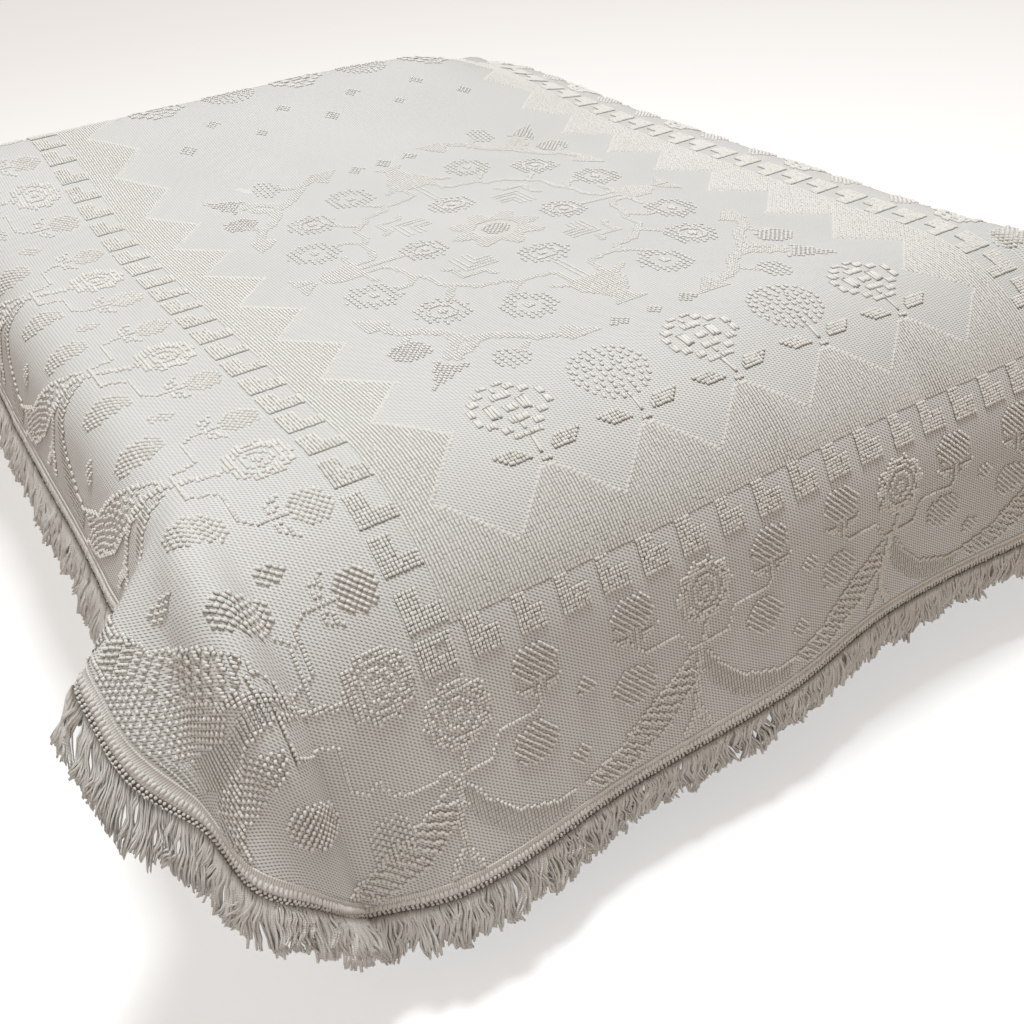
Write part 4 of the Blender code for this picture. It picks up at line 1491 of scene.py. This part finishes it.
def build_lights():
    """A warm room, seen by the camera as a pale wall, a soft light above and one at the corner."""
    world = bpy.data.worlds.new("soft_room")
    bpy.context.scene.world = world
    world.use_nodes = True
    nodes, links = world.node_tree.nodes, world.node_tree.links
    sky = nodes["Background"]
    sky.inputs["Color"].default_value = (1, 0.80, 0.665, 1)
    sky.inputs["Strength"].default_value = 0.34
    wall = nodes.new("ShaderNodeBackground")
    wall.inputs["Color"].default_value = (0.88, 0.88, 0.87, 1)
    seen, mix = nodes.new("ShaderNodeLightPath"), nodes.new("ShaderNodeMixShader")
    links.new(seen.outputs["Is Camera Ray"], mix.inputs["Fac"])
    links.new(sky.outputs["Background"], mix.inputs[1])
    links.new(wall.outputs["Background"], mix.inputs[2])
    links.new(mix.outputs["Shader"], nodes["World Output"].inputs["Surface"])
    add_area("overhead", (0.0, -0.22, 4.8), (0, -0.15, 0.4), 1.1, 142)
    add_area("corner_fill", (-1.55, -2.05, 1.0), (-0.80, -1.02, 0.40), 0.7, 0.30, spread=50)


def build_camera():
    azimuth, elevation, roll = (math.radians(turn) for turn in VIEW_TURNS)
    level = math.cos(elevation)
    back = np.array([math.sin(azimuth) * level, -math.cos(azimuth) * level, math.sin(elevation)])
    side = unit(np.cross(-back, [0, 0, 1]))
    up = np.cross(side, -back)
    right = math.cos(roll) * side + math.sin(roll) * up
    over = -math.sin(roll) * side + math.cos(roll) * up
    origin = (DESIGN_X, DESIGN_Y, CLOTH_TOP)
    place = [REPEAT * repeats + start for repeats, start in zip(VIEW_PLACE, origin)]
    lens = bpy.data.cameras.new("view")
    lens.sensor_width = SENSOR_WIDTH
    lens.lens = FOCAL_SHARE * SENSOR_WIDTH
    lens.clip_start = 0.05
    camera = bpy.data.objects.new("view", lens)
    set_down(camera, place, right, over, back)
    bpy.context.scene.camera = camera


# ---------------------------------------------------------------- everything together

# Where the beads of the outer border change from those at the foot to those at the sides, in v
STRUNG_SPLIT = 1.0
DOTTED_SPLIT = 0.18


def build_bobbles(mottle):
    """All the bobbles and ribs: radius in threads, height, shape, cotton, slant."""
    # Each cotton's first colour is the painted shade at the bobbles' feet, darker for some kinds
    # than for others; the second is the cotton's own colour
    bright = bobble_cotton(
        "bobble_bright", mottle, (0.22, 0.195, 0.155), (0.97, 0.965, 0.935), 0.52
    )
    soft = bobble_cotton("bobble_soft", mottle, (0.09, 0.078, 0.055), (0.95, 0.945, 0.91), 0.56)
    close = bobble_cotton("bobble_close", mottle, (0.085, 0.072, 0.052), (0.95, 0.945, 0.91), 0.70)
    full = bobble_cotton("bobble_full", mottle, (0.40, 0.37, 0.32), (0.95, 0.945, 0.92), 0.50)
    pale = bobble_cotton("bobble_pale", mottle, (0.70, 0.68, 0.64), (0.90, 0.89, 0.87))
    band, blocks, rim = border_parts()
    strung, dotted, fine = outer_motifs()
    dash, dense, leaves, ribs = field_motifs()
    foot_half, near, low_part = V < MIDDLE_V, V < STRUNG_SPLIT, V < DOTTED_SPLIT
    blocks = (blocks | leaves) & ~band
    rows = (
        ("bobbles_band_foot", band & foot_half, (0.58, 0.96), 0.0028, low_tuft, soft),
        ("bobbles_band_head", band & ~foot_half, (0.58, 0.96), 0.0028, low_tuft, soft),
        ("bobbles_blocks", blocks, (0.55, 0.74), 0.0042, full_tuft, close),
        ("bobbles_rim", rim, (0.56, 0.72), 0.0022, full_tuft, pale),
        ("bobbles_strung_foot", strung & near, (0.56, 0.60), 0.0042, full_tuft, bright),
        ("bobbles_strung_head", strung & ~near, (0.56, 0.60), 0.0042, full_tuft, bright),
        ("bobbles_dotted_foot", dotted & low_part, (0.46, 0.96), 0.0048, full_tuft, bright, 0.80),
        ("bobbles_dotted_head", dotted & ~low_part, (0.50, 0.74), 0.0042, full_tuft, full, 0.50),
        ("bobbles_fine", fine, (0.46, 0.84), 0.0032, low_tuft, soft),
        ("bobbles_field", dash, (0.50, 0.84), 0.0032, full_tuft, close),
        ("ribs_field", ribs, (0.56, 1.08), 0.0034, full_tuft, close),
        ("bobbles_medallion", dense, (0.56, 0.80), 0.0026, low_tuft, soft),
    )
    return [bobbles(*row) for row in rows]


def build_fringe():
    # 0.16 and 0.75: how far along the yarns, and across the knots, the painted shade reaches
    yarn = yarn_cotton("tassel_yarn", (0.86, 0.84, 0.80), (0.95, 0.94, 0.91), 260.0, 0.16, 0.5)
    knot = yarn_cotton("heading_yarn", (0.88, 0.865, 0.83), (0.95, 0.94, 0.915), 420.0, 0.75)
    tape = tape_cotton("tape_cotton", (0.84, 0.825, 0.79), (0.91, 0.90, 0.87))
    return [
        build_tape(tape),
        build_heading(knot),
        build_tassels("tassels_left", yarn, -1),
        build_tassels("tassels_right", yarn, 1),
    ]


def main():
    build_camera()
    mottle = make_mottle_group()
    cloth = build_cloth(woven_ground(make_weave_group(), mottle))
    pieces = build_bobbles(mottle)
    fringe = build_fringe()
    for piece in (cloth, *pieces):
        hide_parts("bedspread")
    for piece in fringe:
        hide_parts("fringe")
    for node, colour in (("mattress", (0.84, 0.83, 0.80)), ("bed_base", (0.80, 0.79, 0.765))):
        material = plain_ticking(node + "_cloth", colour, mottle)
        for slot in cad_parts[node].material_slots:
            slot.material = material
    build_floor()
    build_lights()
    bpy.context.scene.view_settings.view_transform = "Standard"


main()
